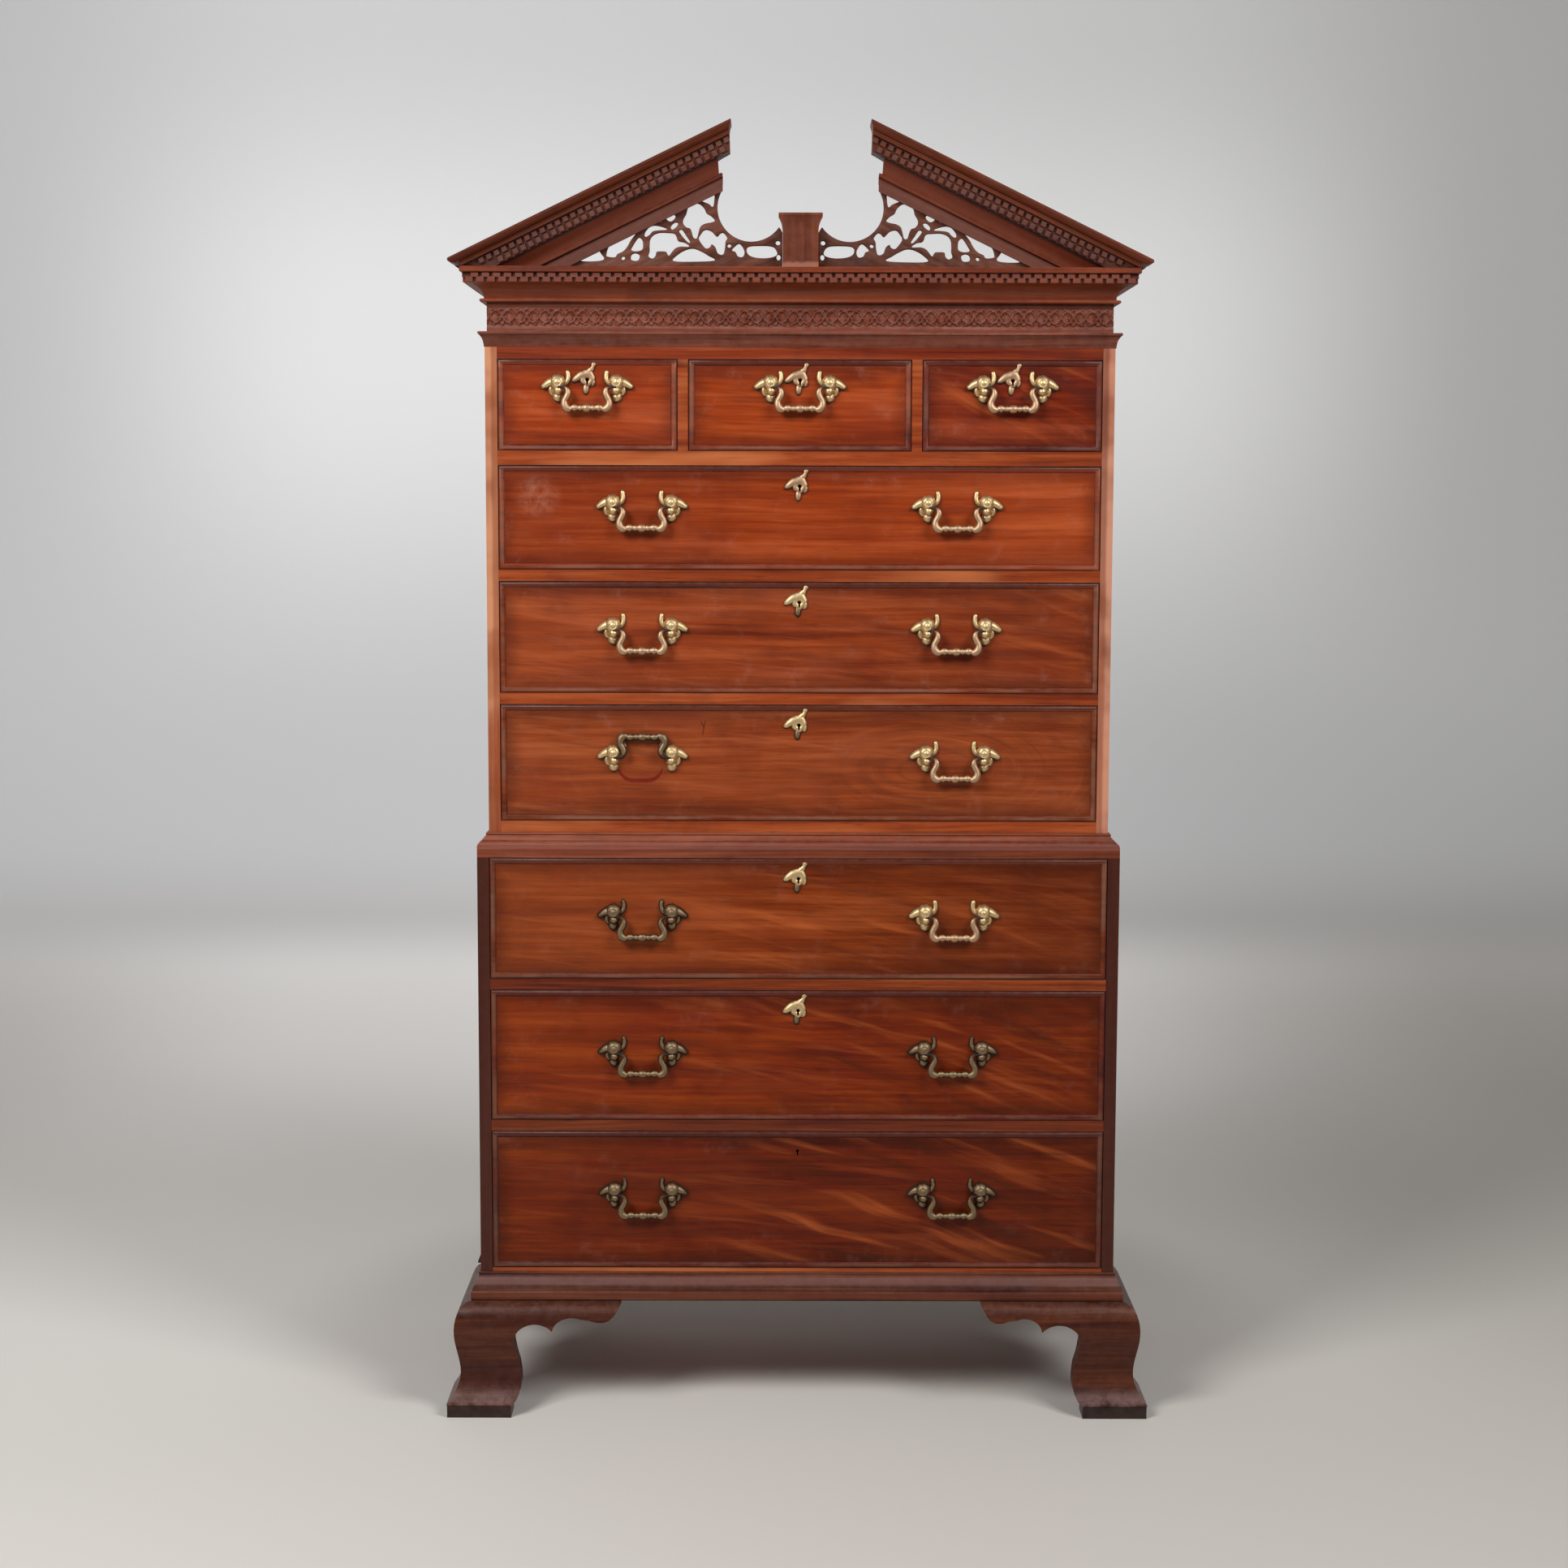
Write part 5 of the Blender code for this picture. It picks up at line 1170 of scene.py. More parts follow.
def level_dentils():
    """Two staggered rows along the front and along both sides, 18.5 mm from one block to the next."""
    period, wide, proud = 0.0185, 0.0128, 0.0046
    rows = ((CORNICE_TOP - 0.0144, 0.0080, 0.0), (CORNICE_BOTTOM + 0.0356, 0.0086, 0.5))
    face, side = FRIEZE_FRONT - DENTIL_GROUND, FRIEZE_HALF + DENTIL_GROUND
    rightwards, backwards, upwards = np.eye(3)
    found = []
    for height, tall, shift in rows:
        x = np.arange(-30.5 + shift, 31, 1.0) * period
        x = x[np.abs(x) < side - 0.004]
        centres = np.column_stack([x, np.full_like(x, face), np.full_like(x, height)])
        found.append(studs(centres, rightwards, upwards, -backwards, wide, tall, proud))
        y = np.arange(face + 0.006 + shift * period, BACK - 0.008, period)
        for sign in (-1, 1):
            centres = np.column_stack([np.full_like(y, sign * side), y, np.full_like(y, height)])
            found.append(studs(centres, backwards, upwards, sign * rightwards, wide, tall, proud))
    return found


def eave_return(sign):
    """The raking cornice's crown carried back along the side: an S from the fascia out to a square edge."""
    top, rise = CORNICE_TOP, 0.0114
    crown = through([(CORNICE_REACH + 0.0020, top + 0.0002), (EAVE_REACH - 0.0090, top + 0.0012),
                     (EAVE_REACH - 0.0044, top + 0.0042), (EAVE_REACH - 0.0020, top + 0.0074)], 4)
    section = np.vstack([[(GAP, top - 0.001), (CORNICE_REACH - 0.001, top - 0.001)], crown,
                         [(EAVE_REACH, top + 0.0082), (EAVE_REACH, top + rise), (GAP, top + rise)]])
    x = sign * (FRIEZE_HALF + section[:, 0])
    ends = (-0.20885, BACK - 0.001)
    return skin(np.array([np.column_stack([x, np.full_like(x, y), section[:, 1]]) for y in ends]))


print("dentils on the level cornice", sum(len(points) for points, _ in level_dentils()) // 12)

# %% [markdown]
# Nobody dusts the dentils, so their faces are grey. The ground between them is painted dark: painted shade,
# where the dentils shade it. The finish tells face from ground by how far a point stands out, and keeps to
# the band by its height.

# %% The cornice and its finish
def dentil_dust_and_shade(finish, colour):
    """Grey dust on the dentils' faces and painted shade on the ground between them, by how far a point stands
    out.
    """
    _, y, z = finish.axes(finish.place())
    ground = FRIEZE_FRONT - DENTIL_GROUND
    fluff = finish.noise(finish.place(), 130.0, 3.0, 0.6)
    out = finish.rise(y, ground - 0.0020, ground - 0.0044)
    above_cove = finish.rise(z, CORNICE_BOTTOM + 0.0300, CORNICE_BOTTOM + 0.0316)
    band = above_cove * finish.rise(z, CORNICE_TOP - 0.0092, CORNICE_TOP - 0.0100)
    near = finish.rise(y, ground + 0.0008, ground - 0.0004)
    # Painted shade on the ground between the dentils; dust on their faces below.
    colour = finish.mix(0.75 * band * (1 - out) * near, colour, paint(48, 22, 17))
    return finish.mix(0.72 * band * out * finish.rise(fluff, 0.25, 0.65), colour, paint(98, 61, 54))


cornice_wood = mahogany("cornice_mahogany", paint(84, 34, 20), paint(120, 54, 33), paint(146, 76, 52),
                        "run", 11.0, dust=0.22, roughness=0.44, add=dentil_dust_and_shade)
cornice = [moulding(cornice_profile(), FRIEZE_HALF, FRIEZE_FRONT, BACK), *level_dentils(), eave_return(-1),
           eave_return(1)]
make("level_cornice", cornice, [cornice_wood], "carcase", ["cornice"])

# %% [markdown]
# ## The raking cornices
# The two slopes carry the same members as the level cornice, so they are a stack of rings again: each ring
# is the plan of the moulding at one depth under the top line. A point's height is the top line's height at
# its x, less the depth measured square to the slope. The level cornice cuts the foot off, so the outer
# corners stop where the slope meets it.

# %% Slope and section of the rakes
RAKE_INNER, RIDGE = 0.1165, CORNICE_TOP + 0.2399
SLOPE = (RIDGE - (CORNICE_TOP + 0.0114)) / (FRIEZE_HALF + EAVE_REACH - RAKE_INNER)


def rake_height(x, depth):
    """Height on a line that lies a depth under the top line, measured square to it."""
    return RIDGE - (x - RAKE_INNER) * SLOPE - depth * math.hypot(1.0, SLOPE)


def rake_levels():
    """(depth, reach, set-in of the inner end), down over crown, fascia, dentil ground, cove and fillets."""
    crown = through([(0.0045, EAVE_REACH - 0.0012, 0.0008), (0.0075, EAVE_REACH - 0.0040, 0.0018),
                     (0.0100, EAVE_REACH - 0.0078, 0.0026), (0.0118, EAVE_REACH - 0.0120, 0.0030)], 4)
    t = np.linspace(0, 1, 14)
    cove = np.column_stack([0.0450 + 0.0210 * t, 0.0226 - 0.0146 * np.sin(t * math.pi / 2),
                            0.0225 - 0.0015 * t])
    return np.vstack([
        [(0.0, EAVE_REACH - 0.0008, 0.0006), (0.0008, EAVE_REACH, 0.0), (0.0040, EAVE_REACH, 0.0)], crown,
        [(0.0124, CORNICE_REACH, 0.0030), (0.0192, CORNICE_REACH, 0.0030), (0.0197, DENTIL_GROUND, 0.0030),
         (0.0435, DENTIL_GROUND, 0.0020), (0.0440, 0.0230, 0.0120)], cove,
        [(0.0680, 0.0120, 0.0150), (0.0730, 0.0120, 0.0145), (0.0745, 0.0100, 0.0145),
         (0.0755, 0.0070, 0.0145), (0.0827, 0.0070, 0.0145), (0.0830, 0.0070, 0.0145),
         (0.0945, 0.0070, 0.0145)]])


def rake(sign):
    """One slope: rings of inner front, outer front, outer rear and inner rear, cut off level at the foot."""
    foot = CORNICE_TOP + GAP
    rings = []
    for depth, reach, inset in rake_levels():
        inner = RAKE_INNER + inset
        cut = RAKE_INNER + (RIDGE - depth * math.hypot(1.0, SLOPE) - foot) / SLOPE
        outer = min(FRIEZE_HALF + reach, cut)
        rear = FRIEZE_FRONT + 0.014 if depth < 0.0830 else FRIEZE_FRONT - GAP
        x = np.array([inner, outer, outer, inner])
        y = np.array([FRIEZE_FRONT - reach] * 2 + [rear] * 2)
        rings.append(np.column_stack([sign * x, y, rake_height(x, depth)]))
    return skin(np.array(rings))


print("slope", round(math.degrees(math.atan(SLOPE)), 1), "degrees, rings", len(rake_levels()))

# %% [markdown]
# The dentils of a rake climb with it, and so do their sides: they are cut square to the slope, not plumb. The
# finish measures its depth under the top line in the same way, so each line of dust and of painted light and
# shade runs up the slope.

# %% The rakes, with dentils and finish
def rake_dentils(sign):
    """Two staggered rows that climb the slope, on the ground between the fascia and the cove."""
    length = math.hypot(1.0, SLOPE)
    along = np.array([sign * 1.0, 0, -SLOPE]) / length
    rising = np.array([sign * SLOPE, 0, 1.0]) / length
    period, face = 0.0128, FRIEZE_FRONT - DENTIL_GROUND
    found = []
    for depth, tall, shift in ((0.0254, 0.0090, 0.0), (0.0370, 0.0096, 0.5)):
        cut = RAKE_INNER + (RIDGE - depth * length - CORNICE_TOP - 0.006) / SLOPE
        end = min(FRIEZE_HALF + DENTIL_GROUND, cut) - 0.003
        x = np.arange(RAKE_INNER + 0.0080 + shift * period, end, period)
        places = np.column_stack([sign * x, np.full_like(x, face), rake_height(x, depth)])
        found.append(studs(places, along, rising, np.array([0, -1.0, 0]), 0.0092, tall, 0.0044))
    return found


RAKE_LINES = [
    # depth, half width and strength of the dark lines of painted shade in the quirks
    (0.0448, 0.0018, 0.9), (0.0193, 0.0012, 0.6), (0.0120, 0.0009, 0.5), (0.0744, 0.0009, 0.7),
    (0.0020, 0.0014, 0.5),
]


def rake_dust_and_shade(finish, colour):
    """By depth under the top line: dust on the climbing dentils, painted shade between them and in the
    quirks, a cove lifted by painted light, and a greyer margin.
    """
    x, y, z = finish.axes(finish.place())
    depth = (RIDGE - (x.size() - RAKE_INNER) * SLOPE - z) / math.hypot(1.0, SLOPE)
    ground = FRIEZE_FRONT - DENTIL_GROUND
    fluff = finish.noise(finish.place(), 110.0, 4.0, 0.65)
    band = finish.rise(depth, 0.0194, 0.0202) * finish.rise(depth, 0.0438, 0.0430)
    out = finish.rise(y, ground - 0.0016, ground - 0.0040)
    near = finish.rise(y, ground + 0.0008, ground - 0.0004)
    # Painted shade on the ground between the dentils; dust on their faces next.
    colour = finish.mix(0.70 * band * (1 - out) * near, colour, paint(48, 27, 22))
    colour = finish.mix(0.80 * band * out * finish.rise(fluff, 0.25, 0.70), colour, paint(86, 62, 58))
    # Painted light: the cove is lifted to a brighter orange than its shading gives it.
    cove = finish.rise(depth, 0.0462, 0.0490) * finish.rise(depth, 0.0690, 0.0660)
    colour = finish.mix(0.70 * cove, colour, paint(120, 54, 32))
    margin = finish.rise(depth, 0.0752, 0.0762)
    colour = finish.mix(0.70 * margin, colour, paint(88, 54, 46))
    for centre, half, strength in RAKE_LINES:
        line = finish.rise((depth - centre).size(), half, 0.4 * half)
        colour = finish.mix(strength * line, colour, paint(40, 17, 11))
    return colour


rake_wood = mahogany("rake_mahogany", paint(68, 28, 17), paint(100, 46, 30), paint(126, 66, 47), "rake", 12.0,
                     dust=0.20, roughness=0.44, add=rake_dust_and_shade)
for sign, word in ((-1, "left"), (1, "right")):
    make(word + "_raking_cornice", [rake(sign), *rake_dentils(sign)], [rake_wood], "carcase",
         ["pediment_" + word + "_rake"])

# %% [markdown]
# ## The feet
# Each front foot is two brackets with an ogee face, mitred at the corner, and their lower edge is sawn
# into an S, two arches and a wave. Both curves are lists of points: the ogee as (height, how far out), and
# the sawn edge as (distance from the corner, height). A shorter wing has its far part squeezed.

# %% Ogee and sawn edge
OGEE = np.vstack([
    [(0.0, 0.0549), (0.0212, 0.0549), (0.0219, 0.0562), (0.0245, 0.0556)],
    [(0.0740 - 0.0495 * t, 0.0330 + 0.0226 * t * t) for t in (0.94, 0.8, 0.65, 0.5, 0.35, 0.2, 0.0)],
    [(0.0740 + 0.076 * t, 0.0330 + 0.0105 * (1 - math.cos(math.pi * t)) / 2)
     for t in np.linspace(0.1, 1, 10)],
    [(0.150 + 0.0467 * t, 0.020 + 0.0235 * math.sqrt(max(0.0, 1 - t * t)))
     for t in (0.2, 0.4, 0.6, 0.75, 0.87, 0.95, 1)],
])


def ogee(z):
    """How far the foot swells out at a height: straight pad, hollow, swell and a quarter round to the top."""
    return np.interp(z, OGEE[:, 0], OGEE[:, 1])


def inner_side(z):
    """The bracket's inner side is flat, 4 mm out from the chest's own faces."""
    return np.full_like(z, 0.004)


def sawn_edge(wing):
    """(distance from the corner, height): up the leg, then arch, cusp, arch and wave out to the tip."""
    stretch = (wing - 0.1267) / (0.246 - 0.1267)
    leg = np.vstack([[(0.0562, 0.0), (0.0562, 0.0212), (0.0567, 0.0219), (0.0590, 0.0245)],
                     through([(0.0640, 0.0285), (0.0700, 0.0420), (0.0722, 0.0600), (0.0700, 0.0860),
                              (0.0640, 0.1080), (0.0600, 0.1290)], 4)])
    first = arc((0.0970, 0.1310), (0.0370, 0.0310), 170, 37, 14)
    far = np.vstack([arc((0.1610, 0.1480), (0.0340, 0.0250), 175, 65, 10),
                     through([(0.1900, 0.1690), (0.2050, 0.1655), (0.2200, 0.1665), (0.2320, 0.1740),
                              (0.2410, 0.1860), (0.2460, 0.1955)], 4)])
    far[:, 0] = 0.1267 + (far[:, 0] - 0.1267) * stretch
    return np.vstack([leg, first, far]), len(leg)


print("points of the ogee", len(OGEE), "points of the sawn edge", len(sawn_edge(0.246)[0]))

# %% [markdown]
# A bracket is a sheet between two edges: the sawn edge, and the corner line that runs up to the top and on
# along it. A point between them is their blend, and then the ogee pushes it out by an amount that depends on
# its height alone. The same sheet with a constant in the ogee's place is the flat inside.

# %% Brackets
def bracket(wing, out, steps=14):
    """Grid of (distance, height, out): blends from the sawn edge to the corner line and the top edge."""
    edge, leg = sawn_edge(wing)
    top = FOOT_TOP - GAP
    climb = np.interp(edge[:leg, 1], [0.0, 0.0245, edge[leg - 1, 1]], [0.0, 0.0245, top])
    run = (edge[leg:, 0] - edge[leg - 1, 0]) / (edge[-1, 0] - edge[leg - 1, 0]) * edge[-1, 0]
    corner_line = np.column_stack([-out(climb), climb])
    top_edge = np.column_stack([run, np.full_like(run, top)])
    far = np.vstack([corner_line, top_edge])
    t = np.linspace(0, 1, steps)[None, :, None]
    flat = edge[:, None] * (1 - t) + far[:, None] * t
    start = -out(flat[..., 1])
    leaning = np.where(np.arange(len(edge))[:, None] < leg, 1.0, 0.0) * t[..., 0]
    d = np.where(leaning >= 1, start, np.maximum(flat[..., 0], start))
    return np.stack([d, flat[..., 1], out(flat[..., 1])], -1)


def bracket_solid(to_world, wing):
    """Outer sheet with the ogee, inner sheet flat, and a rim between their edges."""
    outer, inner = bracket(wing, ogee), bracket(wing, inner_side)
    rows, columns = outer.shape[:2]
    points = np.vstack([to_world(outer.reshape(-1, 3)), to_world(inner.reshape(-1, 3))])
    ids = np.arange(rows * columns).reshape(rows, columns)
    around = np.concatenate([ids[0], ids[1:, -1], ids[-1, -2::-1], ids[-2:0:-1, 0]])
    other = around + rows * columns
    rim = np.stack([around, np.roll(around, -1), np.roll(other, -1), other], 1)
    quads = net(rows, columns, False)
    return outward(points, [(quads, 0), ((quads + rows * columns)[:, ::-1], 0), (rim[:, ::-1], 0)])


print("grid of a bracket", bracket(0.246, ogee).shape[:2])

# %% [markdown]
# Two brackets and a block in the corner make a foot. Each bracket is drawn along its own face, so a small
# function turns (distance, height, out) into a place in the room: ahead of the chest, or beside it. The rear
# feet keep their plain shape and get the same finish.

# %% Feet
def front_foot(sign):
    """Two mitred brackets and the block glued in the corner. The right foot's front wing is shorter."""

    def ahead_of(p):
        return np.column_stack([sign * (LOWER_HALF - p[:, 0]), LOWER_FRONT - p[:, 2], p[:, 1]])

    def beside(p):
        return np.column_stack([sign * (LOWER_HALF + p[:, 2]), LOWER_FRONT + p[:, 0], p[:, 1]])

    x0, x1 = sorted((sign * (LOWER_HALF + 0.0045), sign * (LOWER_HALF - 0.050)))
    corner = block((x0, LOWER_FRONT - 0.0045, 0.001), (x1, LOWER_FRONT + 0.050, FOOT_TOP - 0.001))
    front_wing, side_wing = 0.246 if sign < 0 else 0.233, 0.212
    return [bracket_solid(ahead_of, front_wing), bracket_solid(beside, side_wing), corner]


def foot_dust_light_and_shade(finish, colour):
    """The pad is almost black; above it the toe has a pale grey-pink band of dust and painted highlight; the
    top is painted darker, as shade under the base moulding.
    """
    z = finish.axes(finish.place())[2]
    ragged = finish.noise(finish.place(), 40.0, 4.0, 0.6)
    # Dust and a painted highlight: a pale grey-pink band on the toe's top.
    toe = finish.rise(z, 0.052, 0.028) * finish.rise(ragged, 0.35, 0.62)
    colour = finish.mix(0.42 * toe, colour, paint(136, 104, 100))
    colour = finish.mix(0.85 * finish.rise(z, 0.0222, 0.0212), colour, paint(28, 20, 18))
    # Painted shade at the top, under the base moulding.
    return finish.mix(0.30 * finish.rise(z, 0.185, 0.197), colour, paint(40, 20, 14))


foot_front = mahogany("foot_mahogany", paint(40, 17, 11), paint(68, 34, 23), paint(96, 52, 36), "run", 13.0,
                      dust=0.14, roughness=0.36, add=foot_dust_light_and_shade)
for sign, word in ((-1, "left"), (1, "right")):
    make(word + "_ogee_foot", front_foot(sign), [foot_front], "carcase",
         ["front_" + word + "_foot"], 40)
    for place in nodes["rear_" + word + "_foot"].material_slots:
        place.material = foot_front

# %% [markdown]
# ## The plinth and the pierced boards
# Between the slopes stands a small block for a bust or an urn, with a cap that flares out in a cyma.

# %% Plinth
def plinth():
    """Rings of the block's plan, growing along an S under the cap."""
    z, top = CORNICE_TOP + GAP, CORNICE_TOP + 0.0902
    flare = through([(0.0, top - 0.0300), (0.0004, top - 0.0240), (0.0018, top - 0.0160),
                     (0.0044, top - 0.0090), (0.0064, top - 0.0052)], 4)
    levels = np.vstack([[(0.0, z)], flare, [(0.0070, top - 0.0046), (0.0070, top - 0.0006), (0.0064, top)]])
    rings = []
    for out, height in levels:
        half, front, rear = 0.030 + out, FRIEZE_FRONT - 0.022 - out, FRIEZE_FRONT + 0.014
        corners = [(-half, front), (half, front), (half, rear), (-half, rear)]
        rings.append([(x, y, height) for x, y in corners])
    return skin(np.array(rings))


def worn_foot(finish, colour):
    """Where the block meets the cornice the polish has gone and the timber shows pale."""
    z = finish.axes(finish.place())[2]
    ragged = finish.noise(finish.place(), 60.0, 3.0, 0.6)
    low = finish.rise(z + 0.010 * (ragged - 0.5), CORNICE_TOP + 0.0130, CORNICE_TOP + 0.0060)
    return finish.mix(0.60 * low, colour, paint(176, 118, 96))


plinth_wood = mahogany("plinth_mahogany", paint(76, 34, 22), paint(104, 52, 36), paint(124, 68, 50),
                       "z", 14.0, dust=0.30, roughness=0.44, add=worn_foot)
make("bust_plinth", [plinth()], [plinth_wood], "carcase", ["pediment_plinth"])

# %% [markdown]
# The boards beside it were drawn on paper, pasted down and sawn out with a fret saw: a hoop, a stem, a bud
# and leaves. The openings are drawn as a few knots in millimetres, and a smooth closed line goes through
# them. A flat curve with holes is the natural tool for that. It fills itself, gets its thickness and its
# eased edges, and is then made a mesh, welded and stood up on its edge.

# %% Pierced boards
PIERCINGS = [
    [(332, 15), (337, 24), (342, 30), (350, 25), (362, 19), (370, 13), (350, 12)],
    [(278, 59), (289, 57), (301, 50), (313, 44), (323, 36), (327, 24), (325, 20), (313, 19), (309, 24),
     (299, 29), (292, 37), (287, 46), (281, 54)],
    [(267, 46), (272, 51), (277, 46), (282, 38), (285, 31), (276, 29), (267, 32), (266, 40)],
    [(272, 22), (279, 25), (285, 22), (285, 15), (278, 13), (273, 15)],
    [(212, 57), (224, 59), (238, 59), (248, 55), (253, 48), (254, 38), (254, 29), (256, 21), (250, 17),
     (245, 21), (243, 28), (234, 29), (226, 28), (222, 22), (217, 28), (211, 34), (202, 37), (188, 37),
     (196, 43), (207, 46)],
    [(225, 65), (234, 69), (246, 71), (255, 68), (262, 59), (261, 53), (255, 56), (249, 62), (238, 64)],
    [(211, 86), (218, 91), (226, 86), (223, 80), (217, 79)],
    [(207, 75), (212, 76), (218, 70), (216, 65), (209, 70)],
    [(200, 64), (204, 62), (197, 52), (189, 44), (187, 45), (193, 54)],
    [(145, 80), (151, 87), (159, 92), (163, 100), (171, 107), (181, 107), (189, 101), (192, 91),
     (197, 82), (197, 75), (192, 69), (186, 67), (183, 62), (180, 52), (175, 51), (172, 62), (169, 70),
     (161, 75), (151, 77)],
    [(146, 123), (153, 124), (161, 120), (168, 114), (160, 110), (153, 107), (148, 103), (146, 113)],
    [(124, 51), (130, 59), (135, 58), (141, 53), (151, 62), (161, 64), (167, 58), (171, 50), (165, 40),
     (159, 34), (153, 36), (150, 41), (143, 36), (139, 26), (131, 24), (128, 34), (127, 45)],
    [(145, 14), (155, 21), (167, 28), (181, 33), (195, 30), (208, 22), (214, 13), (179, 12)],
    [(97, 34), (103, 41), (109, 38), (115, 31), (109, 28), (105, 21), (98, 20), (95, 26)],
    [(42, 32), (49, 37), (68, 38), (88, 36), (89, 26), (80, 20), (62, 18), (47, 20), (40, 24)],
]
EYES = [(299, 17, 3.2, 3.2), (237, 81, 4.2, 4.2), (120, 38, 3.2, 3.2), (38, 43, 4, 4), (37, 19, 3.5, 5)]
THICK, EASE = 0.014, 0.0007


def round_loop(knots, steps=4):
    """The closed smooth line through the knots: a few of them are repeated at both ends and cut off again."""
    k = np.asarray(knots, float)
    return through(np.vstack([k[-2:], k, k[:2]]), steps)[2 * steps:(len(k) + 2) * steps]


def opened(loop, by):
    """The loop with every point moved outwards, at right angles to the line between its neighbours."""
    along = np.roll(loop, -1, axis=0) - np.roll(loop, 1, axis=0)
    along /= np.linalg.norm(along, axis=1, keepdims=True)
    after = np.roll(loop, -1, axis=0)
    turn = np.sign(np.sum(loop[:, 0] * after[:, 1] - after[:, 0] * loop[:, 1]))
    return loop + by * turn * np.column_stack([along[:, 1], -along[:, 0]])


def board_edge():
    """Foot, sloping edge under the rake, hoop, and a little curl where the hoop meets the plinth."""
    foot = CORNICE_TOP + GAP
    reach = RAKE_INNER + (RIDGE - 0.0833 * math.hypot(1.0, SLOPE) - foot) / SLOPE
    hoop = arc((0.083, CORNICE_TOP + 0.1019), (0.057, 0.057), 27, -145, 48)
    end = hoop[-1, 1]
    return np.vstack([[(reach, foot), (0.1375, rake_height(0.1375, 0.0833))], hoop,
                      [(0.0333, end - 0.004), (0.0303, end - 0.009), (0.0303, foot)]])


print("openings in a board", len(PIERCINGS) + len(EYES), "points round its edge", len(board_edge()))

# %% [markdown]
# The curve's bevel eases the edges as sandpaper would. Its own offset takes the same amount off first, so
# that the board keeps its outline. The curve is flat in u and v with its thickness along w; standing it up
# means that (u, v, w) becomes (u, middle - w, v).

# %% Filling, thickness and welding
def filled_curve(name, outlines, thick):
    """A mesh from a flat curve that fills the space between its outlines, with thickness and eased edges."""
    curve = bpy.data.curves.new(name, "CURVE")
    curve.dimensions, curve.fill_mode = "2D", "BOTH"
    curve.extrude, curve.bevel_depth, curve.bevel_resolution = thick / 2 - EASE, EASE, 1
    curve.offset = -EASE
    for outline in outlines:
        spline = curve.splines.new("POLY")
        spline.points.add(len(outline) - 1)
        flat = np.column_stack([outline, np.zeros(len(outline)), np.ones(len(outline))])
        spline.points.foreach_set("co", flat.ravel())
        spline.use_cyclic_u = True
    sketch = bpy.data.objects.new(name + "_sketch", curve)
    bpy.context.scene.collection.objects.link(sketch)
    graph = bpy.context.evaluated_depsgraph_get()
    mesh = bpy.data.meshes.new_from_object(sketch.evaluated_get(graph))
    bpy.data.objects.remove(sketch)
    return mesh


def weld(mesh):
    """Joins points that are less than a hundredth of a millimetre apart, and turns the faces out."""
    welder = bmesh.new()
    welder.from_mesh(mesh)
    bmesh.ops.remove_doubles(welder, verts=welder.verts, dist=0.00001)
    bmesh.ops.recalc_face_normals(welder, faces=welder.faces)
    welder.to_mesh(mesh)
    welder.free()


print("a board is", round(THICK * 1000, 1), "mm thick, its edges eased by", round(EASE * 1000, 1), "mm")

# %% [markdown]
# Both boards are the same drawing, one of them mirrored by turning the sign of x. Each stands for its plain
# fret in the packed model.

# %% Both boards, stood up
def sawn_board(name, outlines, front, finish, stands_for):
    """The filled curve welded and stood up, so that its front lies at the given depth."""
    mesh = filled_curve(name, outlines, THICK)
    weld(mesh)
    at = np.empty(3 * len(mesh.vertices))
    mesh.vertices.foreach_get("co", at)
    u, v, w = at.reshape(-1, 3).T
    mesh.vertices.foreach_set("co", np.column_stack([u, front + THICK / 2 - w, v]).ravel())
    mesh.name = name
    mesh.materials.clear()
    mesh.materials.append(finish)
    mesh.shade_smooth()
    mesh.set_sharp_from_angle(angle=math.radians(40))
    thing = bpy.data.objects.new(name, mesh)
    bpy.context.scene.collection.objects.link(thing)
    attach(thing, "carcase")
    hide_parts(stands_for)
    print(name, "points", len(mesh.vertices), "faces", len(mesh.polygons))


fret_wood = mahogany("fret_mahogany", paint(58, 30, 22), paint(90, 50, 38), paint(116, 70, 56), "rake", 15.0,
                     dust=0.35, roughness=0.48)
openings = [(opened(round_loop(knots), 0.6)) / 1000 + np.array([0, CORNICE_TOP]) for knots in PIERCINGS]
for x, z, wide, tall in EYES:
    openings.append(arc((x / 1000, CORNICE_TOP + z / 1000), (wide / 1000, tall / 1000), 0, 337.5, 15))
for sign, word in ((-1, "left"), (1, "right")):
    outlines = [outline * np.array([sign, 1]) for outline in (board_edge(), *openings)]
    sawn_board(word + "_pierced_board", outlines, FRIEZE_FRONT, fret_wood, "pediment_" + word + "_fret")

# %% [markdown]
# ## Room and light
# The chest stands in a plain grey studio whose wall bends into the floor. The bend is a quarter circle, so
# one grid makes floor, bend and wall: across in x, and along a path in y and z. The light is soft and
# comes from above on both sides, which makes the top drawers brighter than the bottom one and puts the
# shadow underneath. The wall has a pool of light behind the upper chest, and the floor a fainter one round
# the lower. They are a faint glow of the paper, given to the camera's own rays only, so they light nothing.
# The far floor fades in the same way into the pale grey beyond it.

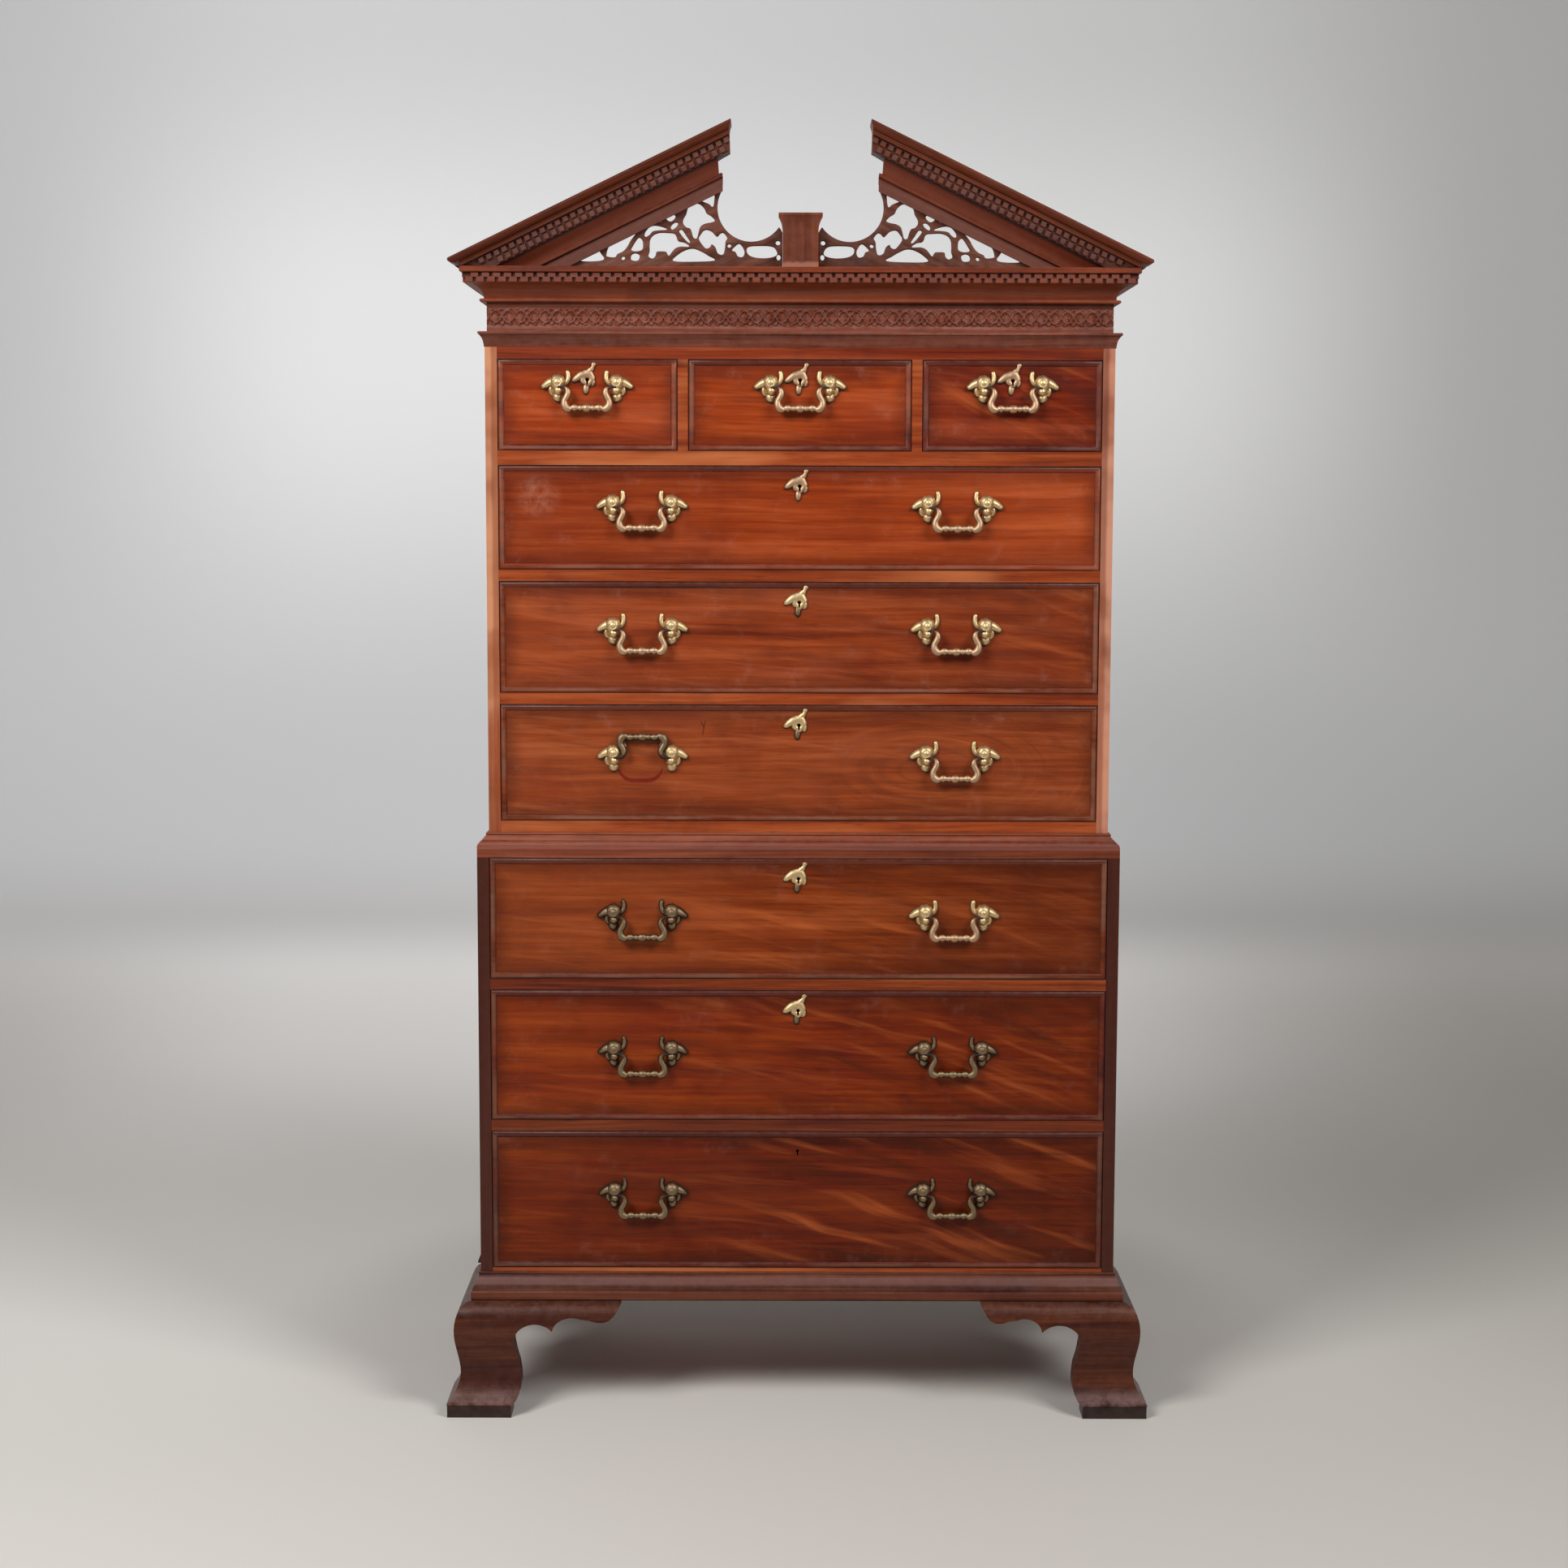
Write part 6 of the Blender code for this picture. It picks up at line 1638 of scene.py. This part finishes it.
# %% Studio
def studio():
    """Floor, quarter-circle bend and wall: every x of the grid with every (y, z) of the path."""
    bend = arc((2.3, 1.6), (1.6, 1.6), -90, 0, 24)
    path = np.vstack([[(-9.0, 0.0)], bend, [(3.9, 7.0)]])
    across = np.linspace(-9, 9, 25)
    x, row = np.meshgrid(across, np.arange(len(path)))
    points = np.column_stack([x.ravel(), path[row.ravel()]])
    mesh = bpy.data.meshes.new("studio")
    mesh.from_pydata(points.tolist(), [], net(len(path), len(across), False).tolist())
    mesh.polygons.foreach_set("use_smooth", np.ones(len(mesh.polygons), dtype=bool))
    thing = bpy.data.objects.new("studio", mesh)
    bpy.context.scene.collection.objects.link(thing)
    return thing


backdrop = Finish("studio_paper", Roughness=0.85, Specular_IOR_Level=0.2, Emission_Strength=1.0)
x, y, z = backdrop.axes(backdrop.place())
# side_shade is painted shade: the paper's own colour darkens towards the right.
side_shade = backdrop.rise(x, -2.2, 2.6)
wall = backdrop.mix(side_shade, paint(250, 250, 252), paint(220, 220, 220))
ground = backdrop.mix(side_shade, paint(225, 221, 215), paint(192, 187, 180))
backdrop.give("Base Color", backdrop.mix(backdrop.rise(z, 0.05, 0.55), ground, wall))
seen = backdrop.node("ShaderNodeLightPath", output="Is Camera Ray")
aside = (x + 0.15).size()
pool = backdrop.rise(z, 0.75, 2.1) * (1 - 0.62 * backdrop.rise(z, 2.2, 3.1)) * backdrop.rise(aside, 2.5, 1.25)
away = (x ** 2.0 + (y - 0.2) ** 2.0) ** 0.5
round_chest = backdrop.rise(away, 0.75, 1.1)
near_floor = backdrop.rise(y, -0.6, 0.4) * backdrop.rise(x, 1.5, 0.6) * round_chest
floor = (0.14 * backdrop.rise(y, 1.0, 3.0) + 0.07 * near_floor) * backdrop.rise(z, 0.34, 0.17)
far_off = backdrop.rise(away, 4.8, 8.4)
lift = 0.23 * pool + floor * (1 - 0.6 * backdrop.rise(aside, 1.2, 2.3)) + 0.44 * far_off
backdrop.give("Emission Color", backdrop.mix(seen * lift, (0.0, 0.0, 0.0), (1.0, 1.0, 1.0)))
room = studio()
room.data.materials.append(backdrop.material)
print("studio", [round(v, 1) for v in room.dimensions], "m")

# %% [markdown]
# Two square lamps stand in for softboxes, the left one a little stronger. A lamp shines along its own -Z,
# so its Z axis looks back from the aim to the lamp. The wall stands on one side only: past its ends the
# camera sees the world, so the world is pale to the camera's own rays, and faint to all others, which
# carry light.

# %% Lamps and the world
def softbox(name, place, aim, size, power):
    """A square lamp that looks at a point."""
    lamp = bpy.data.lights.new(name, "AREA")
    lamp.shape, lamp.size, lamp.energy = "SQUARE", size, power
    thing = bpy.data.objects.new(name, lamp)
    bpy.context.scene.collection.objects.link(thing)
    back = np.array(place, float) - np.array(aim, float)
    back /= np.linalg.norm(back)
    side = np.cross((0, 0, 1), back)
    side /= np.linalg.norm(side)
    matrix = np.eye(4)
    matrix[:3, 0], matrix[:3, 1], matrix[:3, 2], matrix[:3, 3] = side, np.cross(back, side), back, place
    thing.matrix_world = Matrix(matrix.tolist())


softbox("left_softbox", (-2.6, -3.2, 3.8), (0, 0, 1.3), 1.8, 170)
softbox("right_softbox", (2.8, -2.9, 3.7), (0, 0, 1.3), 1.8, 131)


class Sky(Finish):
    """The same helpers on the world's nodes, with its Background as the shader."""

    def __init__(self, name):
        self.world = bpy.data.worlds.new(name)
        self.world.use_nodes = True
        self.tree = self.world.node_tree
        self.shader = self.tree.nodes["Background"]


sky = Sky("room_light")
sky.give("Color", (1.0, 1.0, 1.0, 1.0))
sky.give("Strength", 0.10 + 0.38 * sky.node("ShaderNodeLightPath", output="Is Camera Ray"))
bpy.context.scene.world = sky.world

# %% [markdown]
